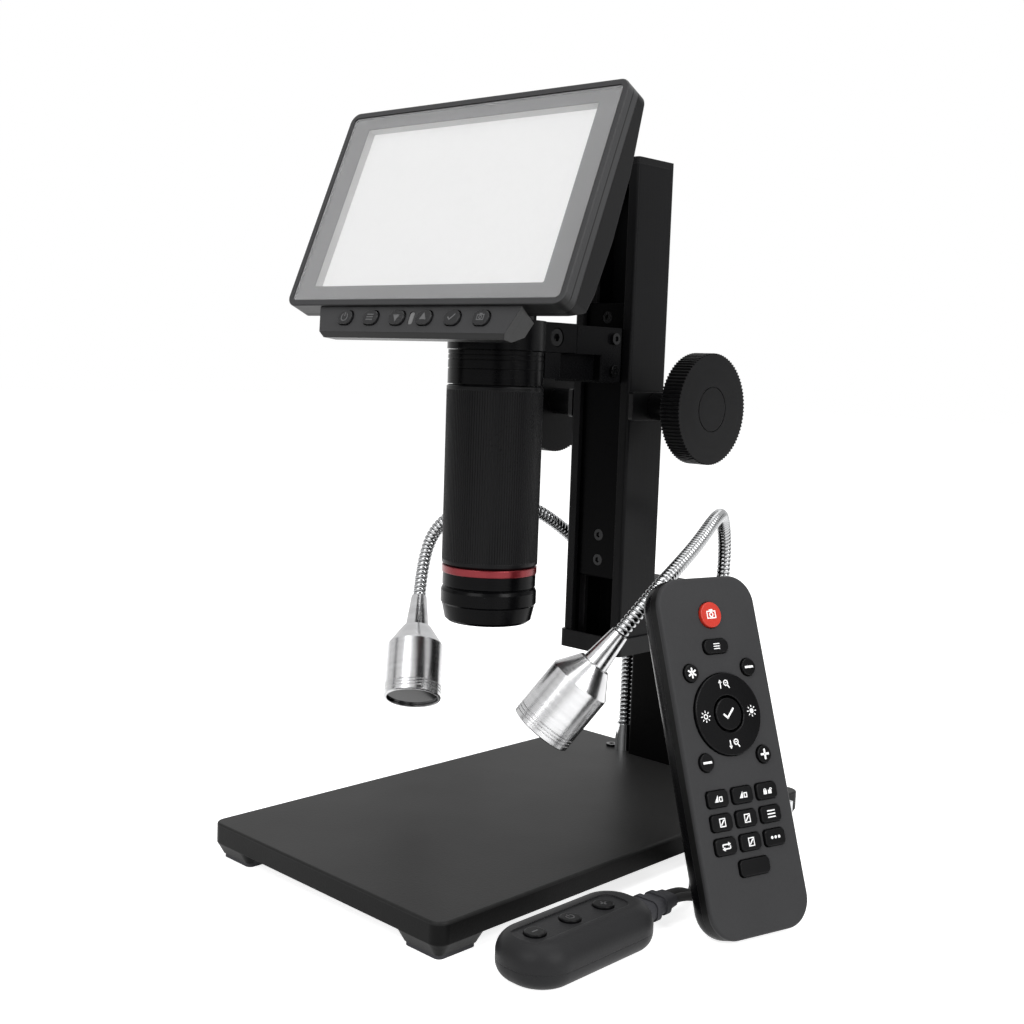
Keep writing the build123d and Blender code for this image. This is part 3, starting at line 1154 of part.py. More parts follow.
for name, place in zip(("dimmer_down_button", "lamp_power_button", "dimmer_up_button"), CONTROLLER_PLACES):
    with BuildPart() as pad:
        with BuildSketch(CONTROLLER.offset(CONTROLLER_HEIGHT - PANEL_DIP + PAD_TRAVEL + 0.2)):
            with Locations(place):
                Circle(PAD_RADIUS)
        extrude(amount=-(CONTROLLER_ROOF + GAP + PAD_TRAVEL))
        fillet(pad.faces().sort_by(Axis.Z)[-1].edges(), 0.4)
        with BuildSketch(CONTROLLER.offset(CONTROLLER_HEIGHT - CONTROLLER_ROOF - GAP)):
            with Locations(place):
                Circle(PAD_RADIUS + 0.9)
        extrude(amount=-1)
    PIECES[name] = pad

RELIEF_START = CONTROLLER_END
RELIEF_END = RELIEF_START + RELIEF_LENGTH
CORD_HEIGHT = FLOOR + RELIEF_HEIGHT
with BuildPart() as cord_relief:
    start = Plane(origin=(CONTROLLER_X, RELIEF_START, CORD_HEIGHT - RELIEF_DROP), x_dir=(1, 0, 0), z_dir=(0, 1, 0))
    end = Plane(origin=(CONTROLLER_X, RELIEF_END, CORD_HEIGHT), x_dir=(1, 0, 0), z_dir=(0, 1, 0))
    with BuildSketch(start):
        RectangleRounded(*RELIEF_ROOT, 2.6)
    with BuildSketch(end):
        RectangleRounded(CORD_SPACING + 2 * CORD_RADIUS + 1, 2 * CORD_RADIUS + 1.4, 2)
    loft()
    for share in (0.25, 0.6):
        middle = Plane(
            origin=(
                CONTROLLER_X,
                RELIEF_START + share * RELIEF_LENGTH,
                CORD_HEIGHT - RELIEF_DROP * (1 - share),
            ),
            x_dir=(1, 0, 0),
            z_dir=(0, 1, 0),
        )
        with BuildSketch(middle):
            RectangleRounded(11.8 - 3.0 * share, 7.4 - 1.8 * share, 2.4)
        extrude(amount=2.2)
PIECES["cord_relief"] = cord_relief

# ---------------------------------------------------------------- cords, coil and plug
CORD_REST = FLOOR + CORD_RADIUS + 0.05
COIL_INNER = COIL_RADIUS - COIL_TURNS_ACROSS * CORD_RADIUS
COIL_OUTER = COIL_RADIUS + COIL_TURNS_ACROSS * CORD_RADIUS
COIL_HEIGHT = (COIL_TURNS + 1) * 2 * CORD_RADIUS
PLUG_X = 65.3
PLUG_Y = 79.0
PLUG_WIDTH = 15.5
PLUG_THICKNESS = 8.0
PLUG_BODY = 17.0
PLUG_SHELL = (12.0, 4.5)
PLUG_SHELL_LENGTH = 10.0
PLUG_SHELL_WALL = 0.4
PLUG_MIDDLE = FLOOR + PLUG_WIDTH / 2

LAMP_CORD_ROUTE = [
    (CONTROLLER_X - CORD_SPACING / 2, RELIEF_END, CORD_HEIGHT),
    (CONTROLLER_X - CORD_SPACING / 2, 12, CORD_HEIGHT),
    (80.6, 23.5, CORD_REST),
    (GLAND_X + 34.7, GLAND_Y - 56, CORD_REST),
    (GLAND_X + 28.5, GLAND_Y - 45, CORD_REST),
    (GLAND_X + 18.5, GLAND_Y - 36, CORD_REST),
    (GLAND_X + 7.5, GLAND_Y - 26, CORD_REST),
    (GLAND_X + 1, GLAND_Y - 14, CORD_REST),
    (GLAND_X, GLAND_Y - GLAND_RADIUS, CORD_REST),
]
USB_CORD_ROUTE = [
    (CONTROLLER_X + CORD_SPACING / 2, RELIEF_END, CORD_HEIGHT),
    (CONTROLLER_X + CORD_SPACING / 2, 12, CORD_HEIGHT),
    (91, 24, CORD_REST),
    (96.8, 35, CORD_REST),
    (COIL_X + COIL_RADIUS, 44, CORD_REST),
    (COIL_X + COIL_RADIUS - 0.3, COIL_Y, CORD_REST),
]
COIL_TOP_TURN = FLOOR + COIL_HEIGHT - CORD_RADIUS
USB_TAIL_ROUTE = [
    (COIL_X, COIL_Y + COIL_RADIUS, COIL_TOP_TURN),
    (COIL_X - 8.5, COIL_Y + COIL_RADIUS + 0.2, COIL_TOP_TURN - 1.2),
    (PLUG_X + 2.9, PLUG_Y - 11, PLUG_MIDDLE + 2.0),
    (PLUG_X + 0.3, PLUG_Y - 5, PLUG_MIDDLE),
    (PLUG_X, PLUG_Y, PLUG_MIDDLE),
]
with BuildPart() as usb_cord:
    add(tube_along(USB_CORD_ROUTE, CORD_RADIUS).part)
    add(tube_along(USB_TAIL_ROUTE, CORD_RADIUS).part)
PIECES["lamp_cord"] = tube_along(LAMP_CORD_ROUTE, CORD_RADIUS)
PIECES["usb_cord"] = usb_cord

with BuildPart() as usb_coil:
    with BuildSketch(Plane.XY.offset(FLOOR)):
        with Locations((COIL_X, COIL_Y)):
            Circle(COIL_OUTER)
            Circle(COIL_INNER, mode=Mode.SUBTRACT)
    extrude(amount=COIL_HEIGHT)
PIECES["usb_coil"] = usb_coil

PLUG_BACK = Plane(origin=(PLUG_X, PLUG_Y, PLUG_MIDDLE), x_dir=(0, 0, 1), z_dir=(0, 1, 0))
with BuildPart() as usb_plug:
    with BuildSketch(PLUG_BACK):
        RectangleRounded(PLUG_WIDTH, PLUG_THICKNESS, 2)
    extrude(amount=PLUG_BODY)
    with BuildSketch(PLUG_BACK.offset(PLUG_BODY)):
        Rectangle(*PLUG_SHELL)
        Rectangle(*[side - 2 * PLUG_SHELL_WALL for side in PLUG_SHELL], mode=Mode.SUBTRACT)
        with Locations((0, PLUG_SHELL[1] / 5)):
            Rectangle(PLUG_SHELL[0] - 2 * PLUG_SHELL_WALL, PLUG_SHELL[1] * 2 / 5)
    extrude(amount=PLUG_SHELL_LENGTH)
PIECES["usb_plug"] = usb_plug

# ---------------------------------------------------------------- remote control
POWER_KEY = (0, POWER_KEY_UP)
RING_PLACE = (0, RING_UP)
SMALL_PLACES = [(side * SMALL_KEY_OUT, RING_UP + end * SMALL_KEY_UP) for side in (-1, 1) for end in (-1, 1)]
GRID_PLACES = [(column * GRID_COLUMN, GRID_UP + row * GRID_ROW) for column in (-1, 0, 1) for row in (-1, 0, 1)]
MENU_PLACE = (0, MENU_KEY_UP)
LOWER_PLACE = (0, LOWER_KEY_UP)
KEY_FLOOR = -3.2


def key_outlines(grow):
    """Outlines of the keys moulded on the mat, made larger by a clearance."""
    with Locations(*SMALL_PLACES):
        Circle(SMALL_KEY_RADIUS + grow)
    with Locations(*GRID_PLACES):
        RectangleRounded(GRID_KEY_WIDTH + 2 * grow, GRID_KEY_HEIGHT + 2 * grow, 1.4)
    with Locations(MENU_PLACE):
        RectangleRounded(MENU_KEY_WIDTH + 2 * grow, MENU_KEY_HEIGHT + 2 * grow, 2.2)
    with Locations(LOWER_PLACE):
        RectangleRounded(LOWER_KEY_WIDTH + 2 * grow, LOWER_KEY_HEIGHT + 2 * grow, 1.6)


with BuildPart() as remote_front_shell:
    with BuildSketch(REMOTE):
        with Locations((0, REMOTE_LENGTH / 2)):
            RectangleRounded(REMOTE_WIDTH, REMOTE_LENGTH, REMOTE_CORNER)
    extrude(amount=-REMOTE_SPLIT)
    fillet(remote_front_shell.faces().sort_by(Axis(REMOTE.origin, REMOTE.z_dir))[-1].edges(), 1)
    with BuildSketch(REMOTE.offset(-REMOTE_WALL)):
        with Locations((0, REMOTE_LENGTH / 2)):
            RectangleRounded(
                REMOTE_WIDTH - 2 * REMOTE_WALL, REMOTE_LENGTH - 2 * REMOTE_WALL, REMOTE_CORNER - REMOTE_WALL
            )
    extrude(amount=-REMOTE_SPLIT, mode=Mode.SUBTRACT)
    with BuildSketch(REMOTE):
        key_outlines(KEY_CLEARANCE)
        with Locations(POWER_KEY):
            Circle(POWER_KEY_RADIUS + KEY_CLEARANCE)
        with Locations(RING_PLACE):
            Circle(RING_RADIUS + KEY_CLEARANCE)
    extrude(amount=-REMOTE_WALL, mode=Mode.SUBTRACT)
PIECES["remote_front_shell"] = remote_front_shell

with BuildPart() as remote_back_shell:
    with BuildSketch(REMOTE.offset(-REMOTE_SPLIT)):
        with Locations((0, REMOTE_LENGTH / 2)):
            RectangleRounded(REMOTE_WIDTH, REMOTE_LENGTH, REMOTE_CORNER)
    extrude(amount=-(REMOTE_THICKNESS - REMOTE_SPLIT))
    fillet(remote_back_shell.faces().sort_by(Axis(REMOTE.origin, REMOTE.z_dir))[0].edges(), REMOTE_EDGE)
    with BuildSketch(REMOTE.offset(-REMOTE_SPLIT)):
        with Locations((0, REMOTE_LENGTH / 2)):
            RectangleRounded(
                REMOTE_WIDTH - 2 * REMOTE_WALL - 2,
                REMOTE_LENGTH - 2 * REMOTE_WALL - 2,
                REMOTE_CORNER - REMOTE_WALL - 1,
            )
    extrude(amount=-(REMOTE_THICKNESS - REMOTE_SPLIT - REMOTE_WALL), mode=Mode.SUBTRACT)
    door = Plane(origin=REMOTE.origin - REMOTE.z_dir * REMOTE_THICKNESS, x_dir=REMOTE.x_dir, z_dir=REMOTE.z_dir)
    with BuildSketch(door):
        with Locations((0, DOOR_UP)):
            Rectangle(DOOR_WIDTH, DOOR_LENGTH)
    extrude(amount=REMOTE_WALL, mode=Mode.SUBTRACT)
PIECES["remote_back_shell"] = remote_back_shell

with BuildPart() as remote_battery_door:
    with BuildSketch(door):
        with Locations((0, DOOR_UP)):
            Rectangle(DOOR_WIDTH - 2 * FIT, DOOR_LENGTH - 2 * FIT)
    extrude(amount=REMOTE_WALL)
    with BuildSketch(door.offset(REMOTE_WALL)):
        with Locations((0, DOOR_UP)):
            Circle(CELL_RADIUS + 1)
            Circle(CELL_RADIUS + FIT, mode=Mode.SUBTRACT)
    extrude(amount=1.5)
PIECES["remote_battery_door"] = remote_battery_door

with BuildPart() as remote_coin_cell:
    with BuildSketch(door.offset(REMOTE_WALL)):
        with Locations((0, DOOR_UP)):
            Circle(CELL_RADIUS)
    extrude(amount=CELL_THICKNESS)
PIECES["remote_coin_cell"] = remote_coin_cell

with BuildPart() as remote_key_mat:
    with BuildSketch(REMOTE.offset(KEY_FLOOR)):
        with Locations((0, REMOTE_LENGTH / 2)):
            RectangleRounded(
                REMOTE_WIDTH - 2 * REMOTE_WALL - 1,
                REMOTE_LENGTH - 2 * REMOTE_WALL - 1,
                REMOTE_CORNER - REMOTE_WALL - 0.5,
            )
    extrude(amount=-(REMOTE_SPLIT + KEY_FLOOR))
    with BuildSketch(REMOTE.offset(KEY_FLOOR)):
        key_outlines(0)
    extrude(amount=KEY_PROUD - KEY_FLOOR)
    key_tops = remote_key_mat.faces().group_by(Axis(REMOTE.origin, REMOTE.z_dir))[-1]
    fillet(key_tops.edges(), 0.35)
PIECES["remote_key_mat"] = remote_key_mat

KEY_BACK = KEY_FLOOR + KEY_TRAVEL + GAP
for name, place, outer, inner in (
    ("remote_power_key", POWER_KEY, POWER_KEY_RADIUS, 0),
    ("remote_ring_key", RING_PLACE, RING_RADIUS, OK_RADIUS + OK_CLEARANCE),
    ("remote_ok_key", RING_PLACE, OK_RADIUS, 0),
):
    with BuildPart() as key:
        with BuildSketch(REMOTE.offset(KEY_BACK)):
            with Locations(place):
                Circle(outer)
                if inner:
                    Circle(inner, mode=Mode.SUBTRACT)
        extrude(amount=KEY_PROUD + 0.1 - KEY_BACK)
        fillet(key.faces().sort_by(Axis(REMOTE.origin, REMOTE.z_dir))[-1].edges(), 0.35)
    PIECES[name] = key

# ---------------------------------------------------------------- written out, one file for each node
os.makedirs("parts", exist_ok=True)
for name, piece in PIECES.items():
    piece.part.label = name
    export_step(piece.part, f"parts/{name}.step")
print(len(PIECES), "nodes")
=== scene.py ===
"""Bench microscope with its own screen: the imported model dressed, with cords, necks, display and key symbols."""

import logging
from dataclasses import dataclass, field, replace
from enum import Enum
from math import cos, pi, radians, sin
from typing import Iterable, Optional, Sequence

import bpy
import numpy as np
from mathutils import Matrix, Vector


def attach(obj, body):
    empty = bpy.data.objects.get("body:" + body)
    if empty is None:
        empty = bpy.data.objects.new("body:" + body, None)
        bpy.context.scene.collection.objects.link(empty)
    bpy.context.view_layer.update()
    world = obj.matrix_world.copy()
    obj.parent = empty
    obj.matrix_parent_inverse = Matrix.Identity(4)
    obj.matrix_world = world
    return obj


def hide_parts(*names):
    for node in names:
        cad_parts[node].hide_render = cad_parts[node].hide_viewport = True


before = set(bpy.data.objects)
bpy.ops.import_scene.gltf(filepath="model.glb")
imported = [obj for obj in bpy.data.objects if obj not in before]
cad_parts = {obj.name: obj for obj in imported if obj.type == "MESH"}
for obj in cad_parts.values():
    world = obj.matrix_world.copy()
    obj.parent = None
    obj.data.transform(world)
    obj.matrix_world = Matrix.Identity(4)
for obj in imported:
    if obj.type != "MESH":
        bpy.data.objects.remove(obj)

LOG = logging.getLogger("microscope")
MM = 0.001
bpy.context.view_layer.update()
FLOOR = -13.0
SCREEN_YAW, SCREEN_TILT = 5.0, 23.5
SCREEN_REACH, SCREEN_HEIGHT = 28.2, 222.2
ARC_STEPS = 24
DUST = (0.42, 0.41, 0.40, 1)
SPECKS_FINER = 40.0
Point = tuple[float, float, float]


class Body(str, Enum):
    """Bodies of the model that the new pieces ride on."""

    STAND = "stand"
    HEAD = "head"
    LAMP_LEFT = "lamp_left"
    LAMP_RIGHT = "lamp_right"
    REMOTE = "remote"


# ---------------------------------------------------------------- shared surface effects
class Effects:
    """Shader node groups that several finishes share, each built once."""

    _built: dict[str, bpy.types.NodeTree] = {}

    @staticmethod
    def _begin(name: str, inputs: Sequence[tuple], outputs: Sequence[tuple]) -> tuple:
        """Start a group with its sockets.

        Args:
            name: name of the group.
            inputs: (name, socket type, default) of each input.
            outputs: (name, socket type) of each output.

        Returns:
            The tree, its input node and its output node.
        """
        tree = bpy.data.node_groups.new(name, "ShaderNodeTree")
        for title, kind, value in inputs:
            socket = tree.interface.new_socket(name=title, in_out="INPUT", socket_type=kind)
            if value is not None:
                socket.default_value = value
        for title, kind in outputs:
            tree.interface.new_socket(name=title, in_out="OUTPUT", socket_type=kind)
        return tree, tree.nodes.new("NodeGroupInput"), tree.nodes.new("NodeGroupOutput")

    @staticmethod
    def _noise(tree: bpy.types.NodeTree, dimensions: str, detail: float, roughness: float) -> bpy.types.Node:
        """Noise texture node with its detail set.

        Args:
            tree: nodes to add it to.
            dimensions: 2D or 3D.
            detail: its number of octaves.
            roughness: share of each octave in the next.

        Returns:
            The node.
        """
        noise = tree.nodes.new("ShaderNodeTexNoise")
        noise.noise_dimensions = dimensions
        noise.inputs["Detail"].default_value = detail
        noise.inputs["Roughness"].default_value = roughness
        return noise

    @staticmethod
    def _range(tree: bpy.types.NodeTree, low: float, high: float) -> bpy.types.Node:
        """Map Range node that reads values from low to high.

        Args:
            tree: nodes to add it to.
            low: value read as 0.
            high: value read as 1.

        Returns:
            The node.
        """
        node = tree.nodes.new("ShaderNodeMapRange")
        node.inputs["From Min"].default_value = low
        node.inputs["From Max"].default_value = high
        return node

    @staticmethod
    def _math(tree: bpy.types.NodeTree, operation: str, value: Optional[float] = None) -> bpy.types.Node:
        """Math node, with its second value set where one is given.

        Args:
            tree: nodes to add it to.
            operation: what it works out.
            value: its second value, if fixed.

        Returns:
            The node.
        """
        node = tree.nodes.new("ShaderNodeMath")
        node.operation = operation
        if value is not None:
            node.inputs[1].default_value = value
        return node

    @classmethod
    def tone(cls) -> bpy.types.NodeTree:
        """Uneven colour and gloss: slow patches over the surface plus fine specks, and dust on what faces up.

        Returns:
            The shared node group.
        """
        if "surface_tone" in cls._built:
            return cls._built["surface_tone"]
        tree, given, made = cls._begin(
            "surface_tone",
            [
                ("Colour", "NodeSocketColor", (0.5, 0.5, 0.5, 1)),
                ("Amount", "NodeSocketFloat", 0.1),
                ("Scale", "NodeSocketFloat", 50.0),
                ("Roughness", "NodeSocketFloat", 0.4),
                ("Spread", "NodeSocketFloat", 0.08),
                ("Dust", "NodeSocketFloat", 0.0),
            ],
            [("Colour", "NodeSocketColor"), ("Roughness", "NodeSocketFloat")],
        )
        link = tree.links.new
        place = tree.nodes.new("ShaderNodeTexCoord")
        patches = cls._noise(tree, "3D", 3.0, 0.55)
        specks = cls._noise(tree, "3D", 2.0, 0.6)
        fine = cls._math(tree, "MULTIPLY", SPECKS_FINER)
        link(place.outputs["Object"], patches.inputs["Vector"])
        link(place.outputs["Object"], specks.inputs["Vector"])
        link(given.outputs["Scale"], patches.inputs["Scale"])
        link(given.outputs["Scale"], fine.inputs[0])
        link(fine.outputs[0], specks.inputs["Scale"])
        both = cls._math(tree, "MULTIPLY_ADD", 0.45)
        link(specks.outputs["Fac"], both.inputs[0])
        link(patches.outputs["Fac"], both.inputs[2])
        share = cls._range(tree, 0.45, 1.0)
        share.inputs["To Min"].default_value = -1.0
        share.inputs["To Max"].default_value = 1.0
        link(both.outputs[0], share.inputs["Value"])
        factor = cls._math(tree, "MULTIPLY_ADD")
        factor.inputs[2].default_value = 1.0
        link(share.outputs["Result"], factor.inputs[0])
        link(given.outputs["Amount"], factor.inputs[1])
        scaled = tree.nodes.new("ShaderNodeVectorMath")
        scaled.operation = "SCALE"
        link(given.outputs["Colour"], scaled.inputs[0])
        link(factor.outputs[0], scaled.inputs["Scale"])
        normal = tree.nodes.new("ShaderNodeNewGeometry")
        upward = tree.nodes.new("ShaderNodeSeparateXYZ")
        link(normal.outputs["Normal"], upward.inputs[0])
        facing_up = cls._math(tree, "MAXIMUM", 0.0)
        link(upward.outputs["Z"], facing_up.inputs[0])
        lying = cls._math(tree, "MULTIPLY")
        link(facing_up.outputs[0], lying.inputs[0])
        link(specks.outputs["Fac"], lying.inputs[1])
        amount = cls._math(tree, "MULTIPLY")
        link(lying.outputs[0], amount.inputs[0])
        link(given.outputs["Dust"], amount.inputs[1])
        dusted = tree.nodes.new("ShaderNodeMix")
        dusted.data_type = "RGBA"
        dusted.inputs["B"].default_value = DUST
        link(amount.outputs[0], dusted.inputs["Factor"])
        link(scaled.outputs[0], dusted.inputs["A"])
        link(dusted.outputs["Result"], made.inputs["Colour"])
        rough = cls._math(tree, "MULTIPLY_ADD")
        link(share.outputs["Result"], rough.inputs[0])
        link(given.outputs["Spread"], rough.inputs[1])
        link(given.outputs["Roughness"], rough.inputs[2])
        link(rough.outputs[0], made.inputs["Roughness"])
        cls._built["surface_tone"] = tree
        return tree

    @classmethod
    def grain(cls) -> bpy.types.NodeTree:
        """Fine moulded or sprayed grain: the height of small cells softened by noise of the same size.

        Returns:
            The shared node group.
        """
        if "fine_grain" in cls._built:
            return cls._built["fine_grain"]
        tree, given, made = cls._begin(
            "fine_grain",
            [("Vector", "NodeSocketVector", None), ("Scale", "NodeSocketFloat", 2500.0)],
            [("Height", "NodeSocketFloat")],
        )
        link = tree.links.new
        cells = tree.nodes.new("ShaderNodeTexVoronoi")
        cells.feature = "SMOOTH_F1"
        soft = cls._noise(tree, "3D", 2.0, 0.5)
        for node in (cells, soft):
            link(given.outputs["Vector"], node.inputs["Vector"])
            link(given.outputs["Scale"], node.inputs["Scale"])
        mix = cls._math(tree, "ADD")
        link(cells.outputs["Distance"], mix.inputs[0])
        link(soft.outputs["Fac"], mix.inputs[1])
        half = cls._math(tree, "MULTIPLY", 0.5)
        link(mix.outputs[0], half.inputs[0])
        link(half.outputs[0], made.inputs["Height"])
        cls._built["fine_grain"] = tree
        return tree

    @classmethod
    def lathe(cls) -> bpy.types.NodeTree:
        """Turning marks: noise read along the distance from the axis plus the distance along it, so rings all round.

        Returns:
            The shared node group.
        """
        if "lathe_lines" in cls._built:
            return cls._built["lathe_lines"]
        tree, given, made = cls._begin(
            "lathe_lines",
            [("Vector", "NodeSocketVector", None), ("Lines", "NodeSocketFloat", 4000.0)],
            [("Height", "NodeSocketFloat"), ("Shade", "NodeSocketFloat")],
        )
        link = tree.links.new
        parts = tree.nodes.new("ShaderNodeSeparateXYZ")
        link(given.outputs["Vector"], parts.inputs[0])
        flat = tree.nodes.new("ShaderNodeCombineXYZ")
        link(parts.outputs["X"], flat.inputs["X"])
        link(parts.outputs["Y"], flat.inputs["Y"])
        reach = tree.nodes.new("ShaderNodeVectorMath")
        reach.operation = "LENGTH"
        link(flat.outputs[0], reach.inputs[0])
        along = cls._math(tree, "ADD")
        link(reach.outputs["Value"], along.inputs[0])
        link(parts.outputs["Z"], along.inputs[1])
        fine = cls._noise(tree, "1D", 4.0, 0.7)
        broad = cls._noise(tree, "1D", 2.0, 0.5)
        tenth = cls._math(tree, "MULTIPLY", 0.12)
        link(given.outputs["Lines"], tenth.inputs[0])
        link(given.outputs["Lines"], fine.inputs["Scale"])
        link(tenth.outputs[0], broad.inputs["Scale"])
        for node in (fine, broad):
            link(along.outputs[0], node.inputs["W"])
        link(fine.outputs["Fac"], made.inputs["Height"])
        link(broad.outputs["Fac"], made.inputs["Shade"])
        cls._built["lathe_lines"] = tree
        return tree

    @classmethod
    def soft_edge(cls) -> bpy.types.NodeTree:
        """Rounded look of an edge: the normal averaged over a small radius.

        Returns:
            The shared node group.
        """
        if "soft_edge" in cls._built:
            return cls._built["soft_edge"]
        tree, given, made = cls._begin(
            "soft_edge",
            [("Radius", "NodeSocketFloat", 0.0003)],
            [("Normal", "NodeSocketVector")],
        )
        bevel = tree.nodes.new("ShaderNodeBevel")
        bevel.samples = 3
        tree.links.new(given.outputs["Radius"], bevel.inputs["Radius"])
        tree.links.new(bevel.outputs["Normal"], made.inputs["Normal"])
        cls._built["soft_edge"] = tree
        return tree


def linear(colour: str) -> tuple[float, float, float, float]:
    """Linear colour of a hex sRGB one.

    Args:
        colour: six hex digits after a hash.

    Returns:
        Red, green, blue and alpha.
    """
    parts = np.array([int(colour[k : k + 2], 16) for k in (1, 3, 5)]) / 255
    bright = np.where(parts <= 0.04045, parts / 12.92, ((parts + 0.055) / 1.055) ** 2.4)
    return (*[float(value) for value in bright], 1.0)


# ---------------------------------------------------------------- finishes
@dataclass(frozen=True)
class Finish:
    """Opaque finish with uneven tone, fine grain and softened edges."""

    name: str
    colour: str
    roughness: float
    metallic: float = 0.0
    specular: float = 0.5
    coat: float = 0.0
    coat_roughness: float = 0.12
    tone: float = 0.10
    tone_scale: float = 45.0
    spread: float = 0.05
    grain_scale: float = 2600.0
    grain_depth: float = 0.00003
    edge: float = 0.0003
    dust: float = 0.0

    def build(self) -> bpy.types.Material:
        """Make the material, or return the one already made.

        Returns:
            The material.
        """
        known = bpy.data.materials.get(self.name)
        if known:
            return known
        material = bpy.data.materials.new(self.name)
        material.use_nodes = True
        self.dress(material)
        return material

    def dress(self, material: bpy.types.Material) -> None:
        """Wire the material's nodes.

        Args:
            material: the new material, with its Principled node.
        """
        tree = material.node_tree
        shader = tree.nodes["Principled BSDF"]
        shader.inputs["Metallic"].default_value = self.metallic
        shader.inputs["Specular IOR Level"].default_value = self.specular
        shader.inputs["Coat Weight"].default_value = self.coat
        shader.inputs["Coat Roughness"].default_value = self.coat_roughness
        tone = self._group(tree, Effects.tone())
        tone.inputs["Colour"].default_value = linear(self.colour)
        tone.inputs["Amount"].default_value = self.tone
        tone.inputs["Scale"].default_value = self.tone_scale
        tone.inputs["Roughness"].default_value = self.roughness
        tone.inputs["Spread"].default_value = self.spread
        tone.inputs["Dust"].default_value = self.dust
        tree.links.new(tone.outputs["Colour"], shader.inputs["Base Color"])
        tree.links.new(tone.outputs["Roughness"], shader.inputs["Roughness"])
        self.relief(tree, shader)

    def relief(self, tree: bpy.types.NodeTree, shader: bpy.types.Node) -> None:
        """Fine grain over the softened edges, as a bump.

        Args:
            tree: the material's nodes.
            shader: its Principled node.
        """
        place = tree.nodes.new("ShaderNodeTexCoord")
        grain = self._group(tree, Effects.grain())
        grain.inputs["Scale"].default_value = self.grain_scale
        tree.links.new(place.outputs["Object"], grain.inputs["Vector"])
        self.bump(tree, shader, grain.outputs["Height"], self.grain_depth)

    def bump(
        self, tree: bpy.types.NodeTree, shader: bpy.types.Node, height: bpy.types.NodeSocket, depth: float
    ) -> None:
        """Feed a height to the shader's normal, over the softened edges.

        Args:
            tree: the material's nodes.
            shader: its Principled node.
            height: socket that gives the height from 0 to 1.
            depth: what a height of 1 stands for, in metres.
        """
        edge = self._group(tree, Effects.soft_edge())
        edge.inputs["Radius"].default_value = self.edge
        bump = tree.nodes.new("ShaderNodeBump")
        bump.inputs["Strength"].default_value = 1.0
        bump.inputs["Distance"].default_value = depth
        tree.links.new(height, bump.inputs["Height"])
        tree.links.new(edge.outputs["Normal"], bump.inputs["Normal"])
        tree.links.new(bump.outputs["Normal"], shader.inputs["Normal"])

    @staticmethod
    def _group(tree: bpy.types.NodeTree, shared: bpy.types.NodeTree) -> bpy.types.Node:
        """Place a shared effect in the material.

        Args:
            tree: the material's nodes.
            shared: the effect's node group.

        Returns:
            The node that holds it.
        """
        node = tree.nodes.new("ShaderNodeGroup")
        node.node_tree = shared
        return node

    @staticmethod
    def _axis_frame(tree: bpy.types.NodeTree, centre: Point, axis: Point) -> bpy.types.Node:
        """Places in the piece read from a centre, with Z along an axis.

        Args:
            tree: the material's nodes.
            centre: where the frame starts, in millimetres.
            axis: direction of its Z.

        Returns:
            The Mapping node that gives them.
        """
        place = tree.nodes.new("ShaderNodeTexCoord")
        turn = tree.nodes.new("ShaderNodeMapping")
        turn.vector_type = "TEXTURE"
        turn.inputs["Location"].default_value = Vector(centre) * MM
        turn.inputs["Rotation"].default_value = Vector(axis).to_track_quat("Z", "Y").to_euler()
        tree.links.new(place.outputs["Object"], turn.inputs["Vector"])
        return turn

    @staticmethod
    def _tint(
        tree: bpy.types.NodeTree, shader: bpy.types.Node, factor: bpy.types.NodeSocket, colour: str
    ) -> None:
        """Mix a colour into the shader's own.

        Args:
            tree: the material's nodes.
            shader: its Principled node.
            factor: socket that says how much of the colour to mix in, from 0 to 1.
            colour: six hex digits after a hash.
        """
        tint = tree.nodes.new("ShaderNodeMix")
        tint.data_type = "RGBA"
        tint.inputs["B"].default_value = linear(colour)
        tree.links.new(factor, tint.inputs["Factor"])
        tree.links.new(shader.inputs["Base Color"].links[0].from_socket, tint.inputs["A"])
        tree.links.new(tint.outputs["Result"], shader.inputs["Base Color"])


@dataclass(frozen=True)
class TurnedFinish(Finish):
    """Finish of a piece made on a lathe: rings round its axis."""

    centre: Point = (0.0, 0.0, 0.0)
    axis: Point = (0.0, 0.0, 1.0)
    lines: float = 3500.0
    line_depth: float = 0.00002
    band: float = 0.0
    band_dark: float = 0.3
    band_pale: float = 0.7

    def relief(self, tree: bpy.types.NodeTree, shader: bpy.types.Node) -> None:
        """Turning marks about the piece's own axis, and a slow change of tone from ring to ring.

        Args:
            tree: the material's nodes.
            shader: its Principled node.
        """
        turn = self._axis_frame(tree, self.centre, self.axis)
        lathe = self._group(tree, Effects.lathe())
        lathe.inputs["Lines"].default_value = self.lines
        tree.links.new(turn.outputs["Vector"], lathe.inputs["Vector"])
        self.bump(tree, shader, lathe.outputs["Height"], self.line_depth)
        if self.band:
            plain = shader.inputs["Base Color"].links[0].from_socket
            share = tree.nodes.new("ShaderNodeMapRange")
            share.inputs["From Min"].default_value = self.band_dark
            share.inputs["From Max"].default_value = self.band_pale
            share.inputs["To Min"].default_value = 1 - self.band
            share.inputs["To Max"].default_value = 1.0
            scaled = tree.nodes.new("ShaderNodeVectorMath")
            scaled.operation = "SCALE"
            tree.links.new(lathe.outputs["Shade"], share.inputs["Value"])
            tree.links.new(plain, scaled.inputs[0])
            tree.links.new(share.outputs["Result"], scaled.inputs["Scale"])
            tree.links.new(scaled.outputs[0], shader.inputs["Base Color"])


